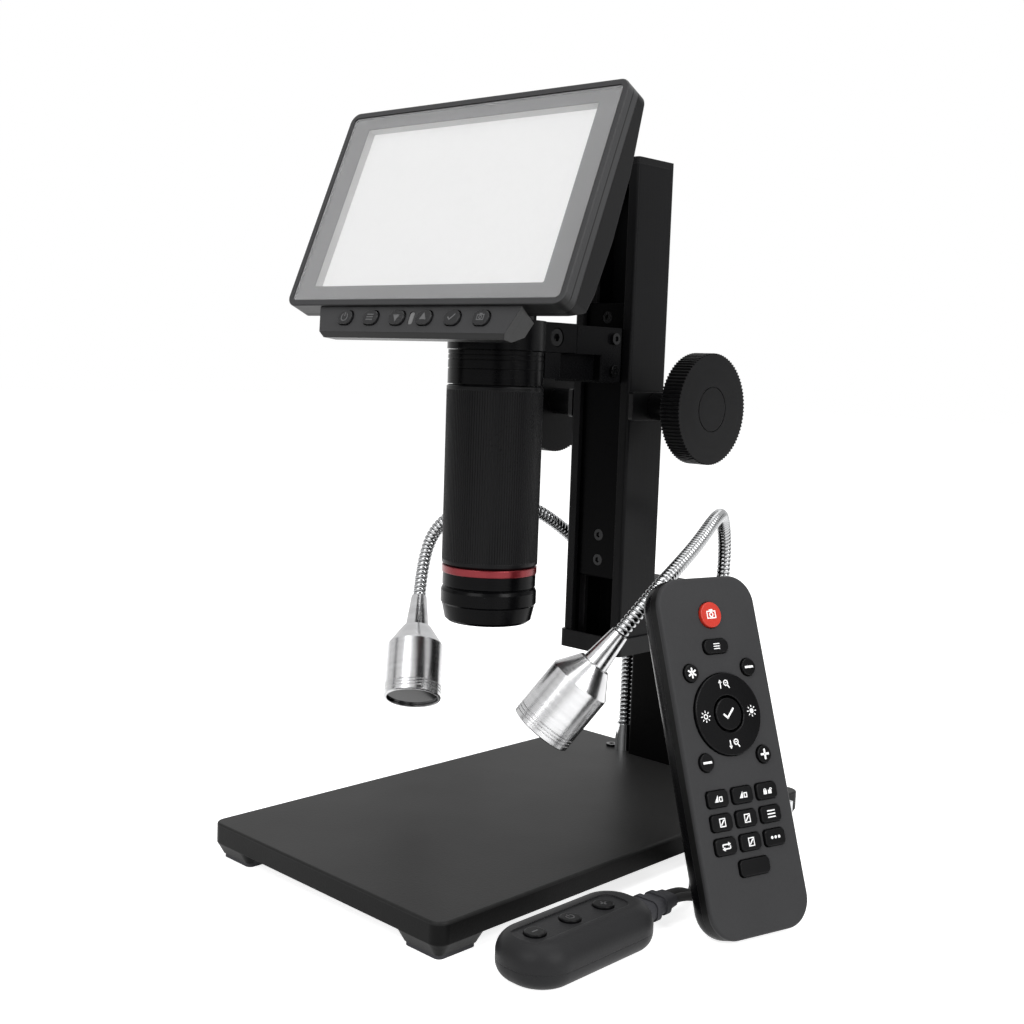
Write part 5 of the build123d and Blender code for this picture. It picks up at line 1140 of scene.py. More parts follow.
class Symbol:
    """Generic symbols, each drawn about the middle of its key."""

    @staticmethod
    def power(pen: KeySymbol, size: float) -> KeySymbol:
        """Broken ring with a bar in its gap."""
        pen.arc((0, 0), size, size * 0.26, 125, 415)
        return pen.bar((0, size * 0.15, 0, size * 1.3), size * 0.26)

    @staticmethod
    def minus(pen: KeySymbol, size: float) -> KeySymbol:
        """Level bar."""
        return pen.bar((-size, 0, size, 0), size * 0.42)

    @staticmethod
    def plus(pen: KeySymbol, size: float) -> KeySymbol:
        """Cross of two bars."""
        pen.bar((-size, 0, size, 0), size * 0.42)
        return pen.bar((0, -size, 0, size), size * 0.42)

    @staticmethod
    def asterisk(pen: KeySymbol, size: float) -> KeySymbol:
        """Three bars crossed at 60 degrees.

        Args:
            pen: what draws it.
            size: its reach in millimetres.

        Returns:
            The same pen, for the next stroke.
        """
        for turn in (30, 90, 150):
            x, y = size * cos(radians(turn)), size * sin(radians(turn))
            pen.bar((-x, -y, x, y), size * 0.34)
        return pen

    @staticmethod
    def lines(pen: KeySymbol, size: float) -> KeySymbol:
        """Three level bars, one above the other.

        Args:
            pen: what draws it.
            size: its reach in millimetres.

        Returns:
            The same pen, for the next stroke.
        """
        for row in (-1, 0, 1):
            pen.bar((-size, row * size * 0.62, size, row * size * 0.62), size * 0.24)
        return pen

    @staticmethod
    def triangle(pen: KeySymbol, size: float, turn: float = 90.0) -> KeySymbol:
        """Filled triangle that points towards an angle."""
        angles = [radians(turn + step) for step in (0, 120, 240)]
        return pen.patch([(size * cos(a), size * sin(a)) for a in angles])

    @staticmethod
    def camera(pen: KeySymbol, size: float) -> KeySymbol:
        """Camera: a box, its lens and its viewfinder bump.

        Args:
            pen: what draws it.
            size: its reach in millimetres.

        Returns:
            The same pen, for the next stroke.
        """
        pen.box((0, 0), (size * 2, size * 1.4), size * 0.2)
        pen.arc((0, 0), size * 0.36, size * 0.2)
        return pen.bar((-size * 0.4, size * 0.82, size * 0.4, size * 0.82), size * 0.26)

    @staticmethod
    def tick(pen: KeySymbol, size: float) -> KeySymbol:
        """Check mark."""
        pen.bar((-size, 0.05 * size, -size * 0.28, -size * 0.62), size * 0.3)
        return pen.bar((-size * 0.4, -size * 0.62, size, size * 0.78), size * 0.3)

    @staticmethod
    def magnifier(pen: KeySymbol, size: float, up: bool) -> KeySymbol:
        """Arrow up or down beside a magnifier.

        Args:
            pen: what draws it.
            size: its reach in millimetres.
            up: whether the arrow points up.

        Returns:
            The same pen, for the next stroke.
        """
        sense = 1 if up else -1
        left, right = -size * 0.85, size * 0.5
        pen.bar((left, -size * 0.7, left, size * 0.7), size * 0.24)
        head = [(-0.42, 0.35), (0.0, 0.95), (0.42, 0.35)][::-sense]
        pen.patch([(left + dx * size, sense * dy * size) for dx, dy in head])
        pen.arc((right, size * 0.25), size * 0.48, size * 0.22)
        pen.bar((right + size * 0.3, -size * 0.12, right + size * 0.75, -size * 0.75), size * 0.26)
        return pen.bar((right - size * 0.22, size * 0.25, right + size * 0.22, size * 0.25), size * 0.18)

    @staticmethod
    def sun(pen: KeySymbol, size: float, full: bool) -> KeySymbol:
        """Small ring or disc with eight rays.

        Args:
            pen: what draws it.
            size: its reach in millimetres.
            full: whether its middle is a disc.

        Returns:
            The same pen, for the next stroke.
        """
        pen.arc((0, 0), size * (0.24 if full else 0.4), size * (0.46 if full else 0.2))
        for step in range(8):
            x, y = cos(step * pi / 4), sin(step * pi / 4)
            pen.bar((size * 0.72 * x, size * 0.72 * y, size * 1.1 * x, size * 1.1 * y), size * 0.2)
        return pen

    @staticmethod
    def mirror(pen: KeySymbol, size: float) -> KeySymbol:
        """Triangle beside a small box, as for a turned picture."""
        pen.patch([(-size, -size * 0.6), (-size * 0.1, -size * 0.6), (-size * 0.1, size * 0.75)])
        return pen.box((size * 0.55, -size * 0.1), (size * 0.85, size), size * 0.2)

    @staticmethod
    def locks(pen: KeySymbol, size: float) -> KeySymbol:
        """Closed lock beside an open one.

        Args:
            pen: what draws it.
            size: its reach in millimetres.

        Returns:
            The same pen, for the next stroke.
        """
        for side, lift in ((-0.6, 0.0), (0.6, 0.3)):
            pen.bar((size * side, -size * 0.65, size * side, size * 0.1), size * 0.85)
            pen.arc((size * (side + lift), size * 0.12), size * 0.28, size * 0.16, 0, 180)
        return pen

    @staticmethod
    def picture(pen: KeySymbol, size: float, rising: bool) -> KeySymbol:
        """Box with a slanted bar across it.

        Args:
            pen: what draws it.
            size: its reach in millimetres.
            rising: whether the bar rises to the right.

        Returns:
            The same pen, for the next stroke.
        """
        pen.box((0, 0), (size * 1.5, size * 1.7), size * 0.2)
        sense = 1 if rising else -1
        return pen.bar((-size * 0.4, -sense * size * 0.5, size * 0.4, sense * size * 0.5), size * 0.26)

    @staticmethod
    def swap(pen: KeySymbol, size: float) -> KeySymbol:
        """Two arrows that chase each other round an oblong.

        Args:
            pen: what draws it.
            size: its reach in millimetres.

        Returns:
            The same pen, for the next stroke.
        """
        for sense in (1, -1):
            pen.bar((-sense * size * 0.9, sense * size * 0.42, sense * size * 0.5, sense * size * 0.42), size * 0.26)
            pen.bar((-sense * size * 0.9, sense * size * 0.42, -sense * size * 0.9, -sense * size * 0.1), size * 0.26)
            head = [(0.45, 0.02), (1.1, 0.42), (0.45, 0.85)]
            pen.patch([(sense * size * x, sense * size * y) for x, y in head])
        return pen

    @staticmethod
    def dots(pen: KeySymbol, size: float) -> KeySymbol:
        """Three dots in a row.

        Args:
            pen: what draws it.
            size: its reach in millimetres.

        Returns:
            The same pen, for the next stroke.
        """
        for column in (-1, 0, 1):
            pen.arc((column * size * 0.9, 0), size * 0.15, size * 0.3)
        return pen


# ---------------------------------------------------------------- dressing of the model's own nodes
def dress(finish: Finish, nodes: Iterable[str]) -> None:
    """Give model nodes a finish.

    Args:
        finish: what they are finished with.
        nodes: their names.
    """
    for name in nodes:
        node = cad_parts[name]
        if node.material_slots:
            for place in node.material_slots:
                place.material = finish.build()
        else:
            node.data.materials.append(finish.build())
        LOG.info("node %s in %s", name, finish.name)


@dataclass
class Studio:
    """Camera, floor, backdrop light and soft lamps."""

    camera_place: Point = (0.3367, -0.3382, 0.1656)
    azimuth: float = 43.963
    pitch: float = 6.105
    roll: float = 1.973
    lens: float = 46.48
    ambient: float = 0.28
    sensor: float = 36.0
    clip: tuple[float, float] = (0.01, 50.0)
    floor_reach: float = 6.0
    floor_gap: float = 0.02
    floor_glow: float = 0.8

    def camera(self) -> bpy.types.Object:
        """Camera from its azimuth, pitch and roll about its line of sight.

        Returns:
            The camera.
        """
        a, p, t = radians(self.azimuth), radians(self.pitch), radians(self.roll)
        sight = Vector((-sin(a) * cos(p), cos(a) * cos(p), -sin(p)))
        level_right = Vector((cos(a), sin(a), 0))
        level_up = level_right.cross(sight)
        right = level_right * cos(t) + level_up * sin(t)
        up = level_up * cos(t) - level_right * sin(t)
        data = bpy.data.cameras.new("camera")
        data.lens, data.sensor_width = self.lens, self.sensor
        data.clip_start, data.clip_end = self.clip
        made = bpy.data.objects.new("camera", data)
        made.matrix_world = Matrix((right, up, -sight)).transposed().to_4x4()
        made.location = self.camera_place
        bpy.context.scene.collection.objects.link(made)
        bpy.context.scene.camera = made
        return made

    def floor(self) -> None:
        """Plain pale floor that keeps the shadow and stays white to the eye, in metal and through glass."""
        reach = self.floor_reach
        corners = np.array([(-reach, -reach), (reach, -reach), (reach, reach), (-reach, reach)])
        points = np.column_stack([corners, np.full(4, (FLOOR - self.floor_gap) * MM)])
        made = mesh_object("floor", points, [[0, 1, 2, 3]], Finish("floor_white", "#e6e6e6", 0.8, tone=0.0, edge=0.0))
        tree = bpy.data.materials["floor_white"].node_tree
        shader = tree.nodes["Principled BSDF"]
        shader.inputs["Specular IOR Level"].default_value = 0.0
        shader.inputs["Emission Color"].default_value = (1, 1, 1, 1)
        tree.links.new(self._seen(tree, self.floor_glow), shader.inputs["Emission Strength"])

    @staticmethod
    def _seen(tree: bpy.types.NodeTree, strength: float) -> bpy.types.NodeSocket:
        """Strength for rays from the eye, from gloss or through glass, and nothing for the rest.

        Args:
            tree: the material's nodes.
            strength: value for the rays that see it.

        Returns:
            Socket with the strength.
        """
        path = tree.nodes.new("ShaderNodeLightPath")
        last = path.outputs["Is Camera Ray"]
        for name in ("Is Glossy Ray", "Is Transmission Ray"):
            either = tree.nodes.new("ShaderNodeMath")
            either.operation = "MAXIMUM"
            tree.links.new(last, either.inputs[0])
            tree.links.new(path.outputs[name], either.inputs[1])
            last = either.outputs[0]
        scaled = tree.nodes.new("ShaderNodeMath")
        scaled.operation = "MULTIPLY"
        scaled.inputs[1].default_value = strength
        tree.links.new(last, scaled.inputs[0])
        return scaled.outputs[0]

    def world(self) -> None:
        """White surround to the eye, dimmer as a light."""
        world = bpy.data.worlds.new("studio_world")
        bpy.context.scene.world = world
        world.use_nodes = True
        tree = world.node_tree
        back = tree.nodes["Background"]
        back.inputs["Color"].default_value = (1, 1, 1, 1)
        share = tree.nodes.new("ShaderNodeMath")
        share.operation = "MULTIPLY_ADD"
        share.inputs[1].default_value = 1.0
        share.inputs[2].default_value = self.ambient
        tree.links.new(self._seen(tree, 1 - self.ambient), share.inputs[0])
        tree.links.new(share.outputs[0], back.inputs["Strength"])

    @staticmethod
    def lamp(name: str, place: Point, aim: Point, size: tuple[float, float], power: float) -> None:
        """Soft rectangular lamp at a place, turned to an aim.

        Args:
            name: its name.
            place: where it stands, in metres.
            aim: the point it is turned to.
            size: width and height in metres.
            power: watts.
        """
        data = bpy.data.lights.new(name, "AREA")
        data.shape = "RECTANGLE"
        data.size, data.size_y = size
        data.energy = power
        made = bpy.data.objects.new(name, data)
        made.location = place
        made.rotation_euler = (Vector(aim) - Vector(place)).to_track_quat("-Z", "Y").to_euler()
        bpy.context.scene.collection.objects.link(made)

    def build(self) -> None:
        """Everything round the object."""
        scene = bpy.context.scene
        scene.view_settings.view_transform = "Standard"
        self.floor()
        self.world()
        self.lamp("key_light", place=(0.25, -1.7, 1.3), aim=(0, 0, 0.1), size=(1.1, 1.1), power=20.0)
        self.lamp("side_light", place=(1.8, 0.0, 1.1), aim=(0, 0, 0.15), size=(0.7, 1.4), power=30.0)
        self.lamp("top_light", place=(0.0, 0.2, 1.9), aim=(0, 0, 0.0), size=(1.4, 1.4), power=18.0)
        self.card("card_front", place=(1.0, -0.85, 0.25), width=0.42, height=1.3, colour="#2c2c2c")
        self.card("card_side", place=(1.45, -0.1, 0.25), width=0.22, height=1.3, colour="#0c0c0c")
        self.card("card_right", place=(1.2, 0.9, 0.25), width=0.5, height=1.3, colour="#0c0c0c")
        self.card("card_left", place=(-1.1, -1.0, 0.25), width=0.4, height=1.0, colour="#161616")

    @staticmethod
    def card(name: str, place: Point, width: float, height: float, colour: str) -> None:
        """Dark upright card that only gloss sees, turned to the object, so that bright metal has something to show.

        Args:
            name: its name.
            place: its middle, in metres.
            width: width in metres.
            height: height in metres.
            colour: six hex digits after a hash.
        """
        away = np.array([place[0], place[1]]) / np.linalg.norm(place[:2])
        across = np.array([-away[1], away[0]]) * width / 2
        low, high = max(place[2] - height / 2, FLOOR * MM), place[2] + height / 2
        ends = [np.array(place[:2]) + across * side for side in (-1, 1)]
        points = np.array([(*ends[0], low), (*ends[1], low), (*ends[1], high), (*ends[0], high)])
        made = mesh_object(name, points, [[0, 1, 2, 3]], Finish(f"{name}_cloth", colour, 0.9, specular=0.0, edge=0.0))
        made.visible_camera = False
        made.visible_diffuse = False
        made.visible_shadow = False
        made.visible_transmission = False


@dataclass
class Cords:
    """Lamp cord from the dimmer to the base, and the USB lead with its coil and plug."""

    radius: float = 1.5
    rest: float = FLOOR + 1.55
    coil_centre: tuple[float, float] = (84.0, 50.3)
    coil_radius: float = 15.0
    coil_turns: float = 4.25
    turn_rise: float = 3.0
    points_a_turn: int = 16
    points_a_span: int = 10
    roundness: int = 3

    def lamp_route(self) -> list[Point]:
        """Control points of the lamp cord.

        Returns:
            Points in millimetres, from the socket on.
        """
        return [(82.3, 4.15, -6.0), (82.3, 12.0, -6.0), (80.6, 23.5, self.rest), (67.7, 41.0, self.rest),
                (61.5, 52.0, self.rest), (51.5, 61.0, self.rest), (40.5, 71.0, self.rest), (34.0, 83.0, self.rest),
                (33.0, 92.5, self.rest)]

    def usb_route(self) -> list[Point]:
        """Control points of the USB lead: its run, the turns of its coil and its end at the plug.

        Returns:
            Points in millimetres, from the socket on.
        """
        run = [(86.3, 4.15, -6.0), (86.3, 12.0, -6.0), (91.0, 24.0, self.rest), (96.8, 35.0, self.rest),
               (99.0, 44.0, self.rest)]
        count = int(round(self.coil_turns * self.points_a_turn)) + 1
        share = np.arange(count) / self.points_a_turn
        x = self.coil_centre[0] + self.coil_radius * np.cos(2 * pi * share)
        y = self.coil_centre[1] + self.coil_radius * np.sin(2 * pi * share)
        turns = np.column_stack([x, y, self.rest + self.turn_rise * share])
        tail = [(75.5, 65.5, 0.05), (68.2, 68.0, -3.25), (65.6, 74.0, -5.25), (65.3, 79.0, -5.25)]
        return run + [tuple(float(v) for v in row) for row in turns] + tail

    def lay(self, name: str, route: Sequence[Point]) -> bpy.types.Object:
        """Round cord as one smooth spline along its control points.

        Args:
            name: the cord's name.
            route: its control points, in millimetres.

        Returns:
            The cord.
        """
        data = bpy.data.curves.new(name, "CURVE")
        data.dimensions = "3D"
        spline = data.splines.new("NURBS")
        spline.points.add(len(route) - 1)
        for point, place in zip(spline.points, route):
            point.co = (*[value * MM for value in place], 1.0)
        spline.order_u = 3
        spline.use_endpoint_u = True
        data.resolution_u = self.points_a_span
        data.bevel_depth = self.radius * MM
        data.bevel_resolution = self.roundness
        data.use_fill_caps = True
        data.materials.append(CORD_SHEATH.build())
        made = bpy.data.objects.new(name, data)
        bpy.context.scene.collection.objects.link(made)
        return made

    def build(self) -> None:
        lamp = self.lay("lamp_cord_line", self.lamp_route())
        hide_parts("lamp_cord")
        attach(lamp, Body.STAND.value)
        lead = self.lay("usb_lead_line", self.usb_route())
        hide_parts("usb_cord", "usb_coil")
        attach(lead, Body.STAND.value)
        dress(PLUG, ["usb_plug"])
        dress(CORD_SHEATH, ["lamp_cord", "usb_cord", "usb_coil"])
        LOG.info("cords laid")


@dataclass
class Stand:
    """Base, feet, post, column and what holds them."""

    def build(self) -> None:
        """Finish the stand's nodes."""
        dress(BLACK_PAINT, ["base_plate"])
        dress(POST_SHADED_PAINT, ["rear_post"])
        dress(BLACK_RUBBER, ["rubber_feet"])
        dress(SCREW_BLACK, ["frame_screws"])
        dress(COLUMN_BLACK, ["column"])
        dress(BLACK_PLASTIC, ["column_caps"])
        dress(GUIDE_NYLON, ["guide_strips"])
        dress(BEARING_BLACK, ["pinion_bearings"])


@dataclass
class FocusDrive:
    """Knobs, shaft, rack and the carriage they move."""

    def build(self) -> None:
        """Finish the drive's nodes."""
        dress(KNOB_BLACK, ["focus_knob_left", "focus_knob_right"])
        dress(STEEL, ["pinion_shaft"])
        dress(RACK_BRASS, ["rack"])
        dress(SLIDE_BLACK, ["slide_bar"])
        dress(ARM_BLACK, ["arm_bracket"])
        dress(SCREW_BLACK, ["carriage_screws", "clamp_screw"])


@dataclass
class OpticalTube:
    """Tube, focusing sleeve, hood, lens cell and the camera board above them."""

    sleeve_radius: float = 17.45
    sleeve_bore: float = 15.4
    sleeve_low: float = 95.5
    sleeve_high: float = 160.1
    ribs: int = 120
    rib_depth: float = 0.2
    edge: float = 0.6
    steps_a_rib: int = 6
    plain_end: float = 1.6
    ribbed_from: float = 2.0

    def sleeve(self) -> bpy.types.Object:
        """Fine-ribbed grip: the radius drops by a narrow cosine valley between ribs, and not at its plain ends.

        Returns:
            The sleeve.
        """
        around = self.ribs * self.steps_a_rib
        angle = np.arange(around) * 2 * pi / around
        valley = (0.5 + 0.5 * np.cos(self.ribs * angle)) ** 2
        low, high, r = self.sleeve_low, self.sleeve_high, self.sleeve_radius
        profile = [(self.sleeve_bore, low, 0), (r - self.edge, low, 0), (r, low + self.edge, 0),
                   (r, low + self.plain_end, 0), (r, low + self.ribbed_from, 1), (r, high - self.ribbed_from, 1),
                   (r, high - self.plain_end, 0), (r, high - self.edge, 0), (r - self.edge, high, 0),
                   (self.sleeve_bore, high, 0)]
        rings = []
        for reach, up, ribbed in profile:
            radius = reach - self.rib_depth * valley * ribbed
            rings.append(np.column_stack([radius * np.cos(angle), radius * np.sin(angle), np.full(around, up)]))
        faces = grid_faces(len(rings), around, wrap_rows=True)
        made = mesh_object("focus_sleeve_grip", np.concatenate(rings) * MM, faces.tolist(), SLEEVE_BLACK)
        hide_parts("focus_sleeve")
        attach(made, "focus_sleeve")
        LOG.info("sleeve with %d ribs", self.ribs)
        return made

    def build(self) -> None:
        """Cut the grip and finish the tube's nodes."""
        self.sleeve()
        dress(TUBE_BLACK, ["tube_body", "clamp_ring", "focus_sleeve", "lens_hood", "lens_cell"])
        dress(RED_METAL, ["red_ring"])
        dress(OBJECTIVE_GLASS, ["objective_lenses"])
        dress(CIRCUIT_GREEN, ["camera_board"])


@dataclass
class ScreenHead:
    """Screen frame with its window, recessed display, buttons and boards."""

    yaw: float = SCREEN_YAW
    tilt: float = SCREEN_TILT
    reach: float = SCREEN_REACH
    height: float = SCREEN_HEIGHT
    window: tuple[float, float] = (120.6, 74.6)
    window_corner: float = 1.8
    window_thickness: float = 1.2
    display: tuple[float, float] = (103.6, 63.9)
    display_shift: tuple[float, float] = (-0.1, 0.35)
    panel: tuple[float, float] = (112.6, 68.6)
    well_depth: float = 3.0
    border_thickness: float = 0.25
    button_pitch: float = 12.35
    button_row: float = -43.7
    button_face: float = -0.1
    glass_smaller: float = 0.95
    rim_smaller: float = 0.9
    rim_corner: float = 1.35
    display_corner: float = 0.6
    status_size: tuple[float, float] = (2.1, 4.5)
    status_depth: tuple[float, float] = (-2.8, -1.25)
    hair: float = 0.02
    edge_depth: float = 0.2
    panel_gap: float = 0.03
    sheet: float = 0.1
    print_height: float = 0.04

    def plane(self) -> LocalPlane:
        """The window's outer face.

        Returns:
            The plane, with its second axis up the screen.
        """
        yaw, tilt = radians(self.yaw), radians(self.tilt)
        facing = np.array([sin(yaw), -cos(yaw), 0.0])
        normal = facing * cos(tilt) + np.array([0, 0, 1.0]) * sin(tilt)
        origin = facing * self.reach + np.array([0, 0, self.height])
        return LocalPlane(tuple(origin), (cos(yaw), sin(yaw), 0.0), tuple(normal))

    def glazing(self) -> None:
        """Clear plate, and under it the border, grey with painted reflection, whose opening shows the display."""
        plane = self.plane()
        back = -self.window_thickness
        full = rounded_outline(*self.window, self.window_corner)
        inner = rounded_outline(self.window[0] - self.glass_smaller, self.window[1] - self.glass_smaller,
                                self.rim_corner)
        glass_back = back + self.border_thickness
        glass = lofted_plate("cover_window", plane, [level(inner, glass_back), level(inner, 0.0)], WINDOW_GLASS)
        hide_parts("cover_glass")
        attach(glass, Body.HEAD.value)
        opening = rounded_outline(*self.display, self.display_corner)
        shift = self.display_shift
        border = lofted_plate("window_border", plane,
                              [level(full, back), level(full, glass_back - self.hair),
                               level(opening, glass_back - self.hair, shift), level(opening, back, shift)],
                              BORDER_REFLECTION_GREY, open_middle=True)
        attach(border, Body.HEAD.value)
        rim = rounded_outline(self.window[0] - self.rim_smaller, self.window[1] - self.rim_smaller, self.rim_corner)
        edge = lofted_plate("window_polished_edge", plane,
                            [level(full, -self.edge_depth), level(full, self.hair), level(rim, self.hair),
                             level(rim, -self.edge_depth)], EDGE_GREY, open_middle=True)
        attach(edge, Body.HEAD.value)
        LOG.info("window, border and edge")

    def screen(self) -> None:
        """Display panel: a shallow well with the lit sheet at its bottom."""
        plane = self.plane()
        front = -self.window_thickness - self.panel_gap
        bottom = front - self.well_depth
        outer = rounded_outline(*self.panel, 1.0)
        opening = rounded_outline(*self.display, self.display_corner)
        shift = self.display_shift
        well = lofted_plate("display_well", plane,
                            [level(outer, bottom - self.sheet), level(outer, front), level(opening, front, shift),
                             level(opening, bottom - self.sheet, shift)], WELL_GREY, open_middle=True)
        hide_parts("lcd_panel")
        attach(well, Body.HEAD.value)
        sheet_edge = rounded_outline(self.display[0] - self.hair, self.display[1] - self.hair, self.display_corner)
        lit = lofted_plate("display_sheet", plane,
                           [level(sheet_edge, bottom - self.sheet, shift), level(sheet_edge, bottom, shift)], DISPLAY)
        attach(lit, Body.HEAD.value)
        slot_edge = rounded_outline(*self.status_size, 1.0)
        status = lofted_plate("status_window_piece", plane,
                              [level(slot_edge, depth, (0, self.button_row)) for depth in self.status_depth],
                              STATUS_WINDOW)
        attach(status, Body.HEAD.value)
        LOG.info("display")

    def symbols(self) -> None:
        """Grey symbols on the six buttons, their grey a painted highlight."""
        drawn = [("power_button", Symbol.power, 1.4, {}), ("menu_button", Symbol.lines, 1.5, {}),
                 ("down_button", Symbol.triangle, 1.7, {"turn": -90}),
                 ("up_button", Symbol.triangle, 1.7, {"turn": 90}),
                 ("ok_button", Symbol.tick, 1.5, {}), ("capture_button", Symbol.camera, 1.5, {})]
        plane = self.plane()
        for k, (body, shape, size, extra) in enumerate(drawn):
            spot = plane.moved((k - 2.5) * self.button_pitch, self.button_row, self.button_face)
            pen = KeySymbol(spot, high=self.print_height)
            shape(pen, size, **extra)
            pen.finish(f"{body}_symbol", BUTTON_SYMBOL_HIGHLIGHT, body, "gloss_black")

    def build(self) -> None:
        """Make and dress the head."""
        self.glazing()
        self.screen()
        self.symbols()
        dress(FRAME_PLASTIC, ["screen_frame"])
        dress(BLACK_PLASTIC, ["screen_back_shell"])
        dress(BUTTON_PLASTIC, ["power_button", "menu_button", "down_button", "up_button", "ok_button",
                               "capture_button"])
        dress(CIRCUIT_BLACK, ["main_board"])
        dress(WINDOW_GLASS, ["cover_glass"])
        dress(WELL_GREY, ["lcd_panel"])


@dataclass
class Gooseneck:
    """One lamp on its spiral-wound neck."""

    body: Body
    node: str
    side: str
    route: list[Point]
    rim: Point
    aim: Point
    across: Point = (1.0, 0.0, 0.0)
    radius: float = 2.75
    rib: float = 1.9
    groove: float = 0.55
    around: int = 18
    steps_a_rib: int = 8
    groove_fall: float = 1.6
    shade_fall: float = 1.8
    measuring_steps: int = 200

    def neck(self) -> bpy.types.Object:
        """Wound neck: its radius dips in a narrow groove that climbs once round for each rib.

        Returns:
            The neck.
        """
        line = spline_points(f"{self.node}_line", self.route)
        length = even_line(line, self.measuring_steps)[2] / MM
        count = int(length / self.rib * self.steps_a_rib)
        steps = even_line(line, count)
        run = np.linspace(0, length, count)[:, None]
        angle = (np.arange(self.around) * 2 * pi / self.around)[None, :]
        crest = np.abs(np.sin(pi * run / self.rib - angle / 2))
        radius = (self.radius - self.groove * (1 - crest) ** self.groove_fall) * MM
        # The groove depth, shaped by shade_fall, is the mask of the painted shade in the grooves.
        made = tube_along(f"{self.node}_wound", steps, radius, self.across, GOOSENECK_CHROME,
                          (1 - crest) ** self.shade_fall)
        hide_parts(self.node)
        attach(made, self.body.value)
        LOG.info("neck %s, %.0f mm long", self.node, length)
        return made

    def build(self) -> None:
        """Wind the neck and finish the lamp's nodes."""
        self.neck()
        dress(lamp_aluminium(f"turned_lamp_{self.side}", self.rim, self.aim), [f"lamp_head_{self.side}"])
        dress(LENS_DARK, [f"lamp_lens_{self.side}"])
        dress(CHROME, [self.node])


@dataclass
class LampController:
    """Dimmer on its cord, with three pads."""

    centre: Point = (84.3, -41.7, FLOOR)
    pad_pitch: float = 15.6
    row_offset: float = 3.3
    pad_face: float = 14.4
    symbol_size: float = 1.25
    print_height: float = 0.05

    def build(self) -> None:
        """Finish the shells and put a symbol on each pad."""
        dress(CONTROLLER_PLASTIC, ["controller_bottom", "controller_top"])
        dress(BLACK_RUBBER, ["cord_relief"])
        dress(KEY_RUBBER, ["dimmer_down_button", "lamp_power_button", "dimmer_up_button"])
        plane = LocalPlane(self.centre, (0.0, 1.0, 0.0), (0.0, 0.0, 1.0))
        for k, (body, shape) in enumerate((("dimmer_down_button", Symbol.minus), ("lamp_power_button", Symbol.power),
                                           ("dimmer_up_button", Symbol.plus))):
            spot = plane.moved((k - 1) * self.pad_pitch - self.row_offset, 0.0, self.pad_face)
            pen = KeySymbol(spot, high=self.print_height)
            shape(pen, self.symbol_size)
            pen.finish(f"{body}_symbol", PAD_ICON_HIGHLIGHT, body, "gloss_black")


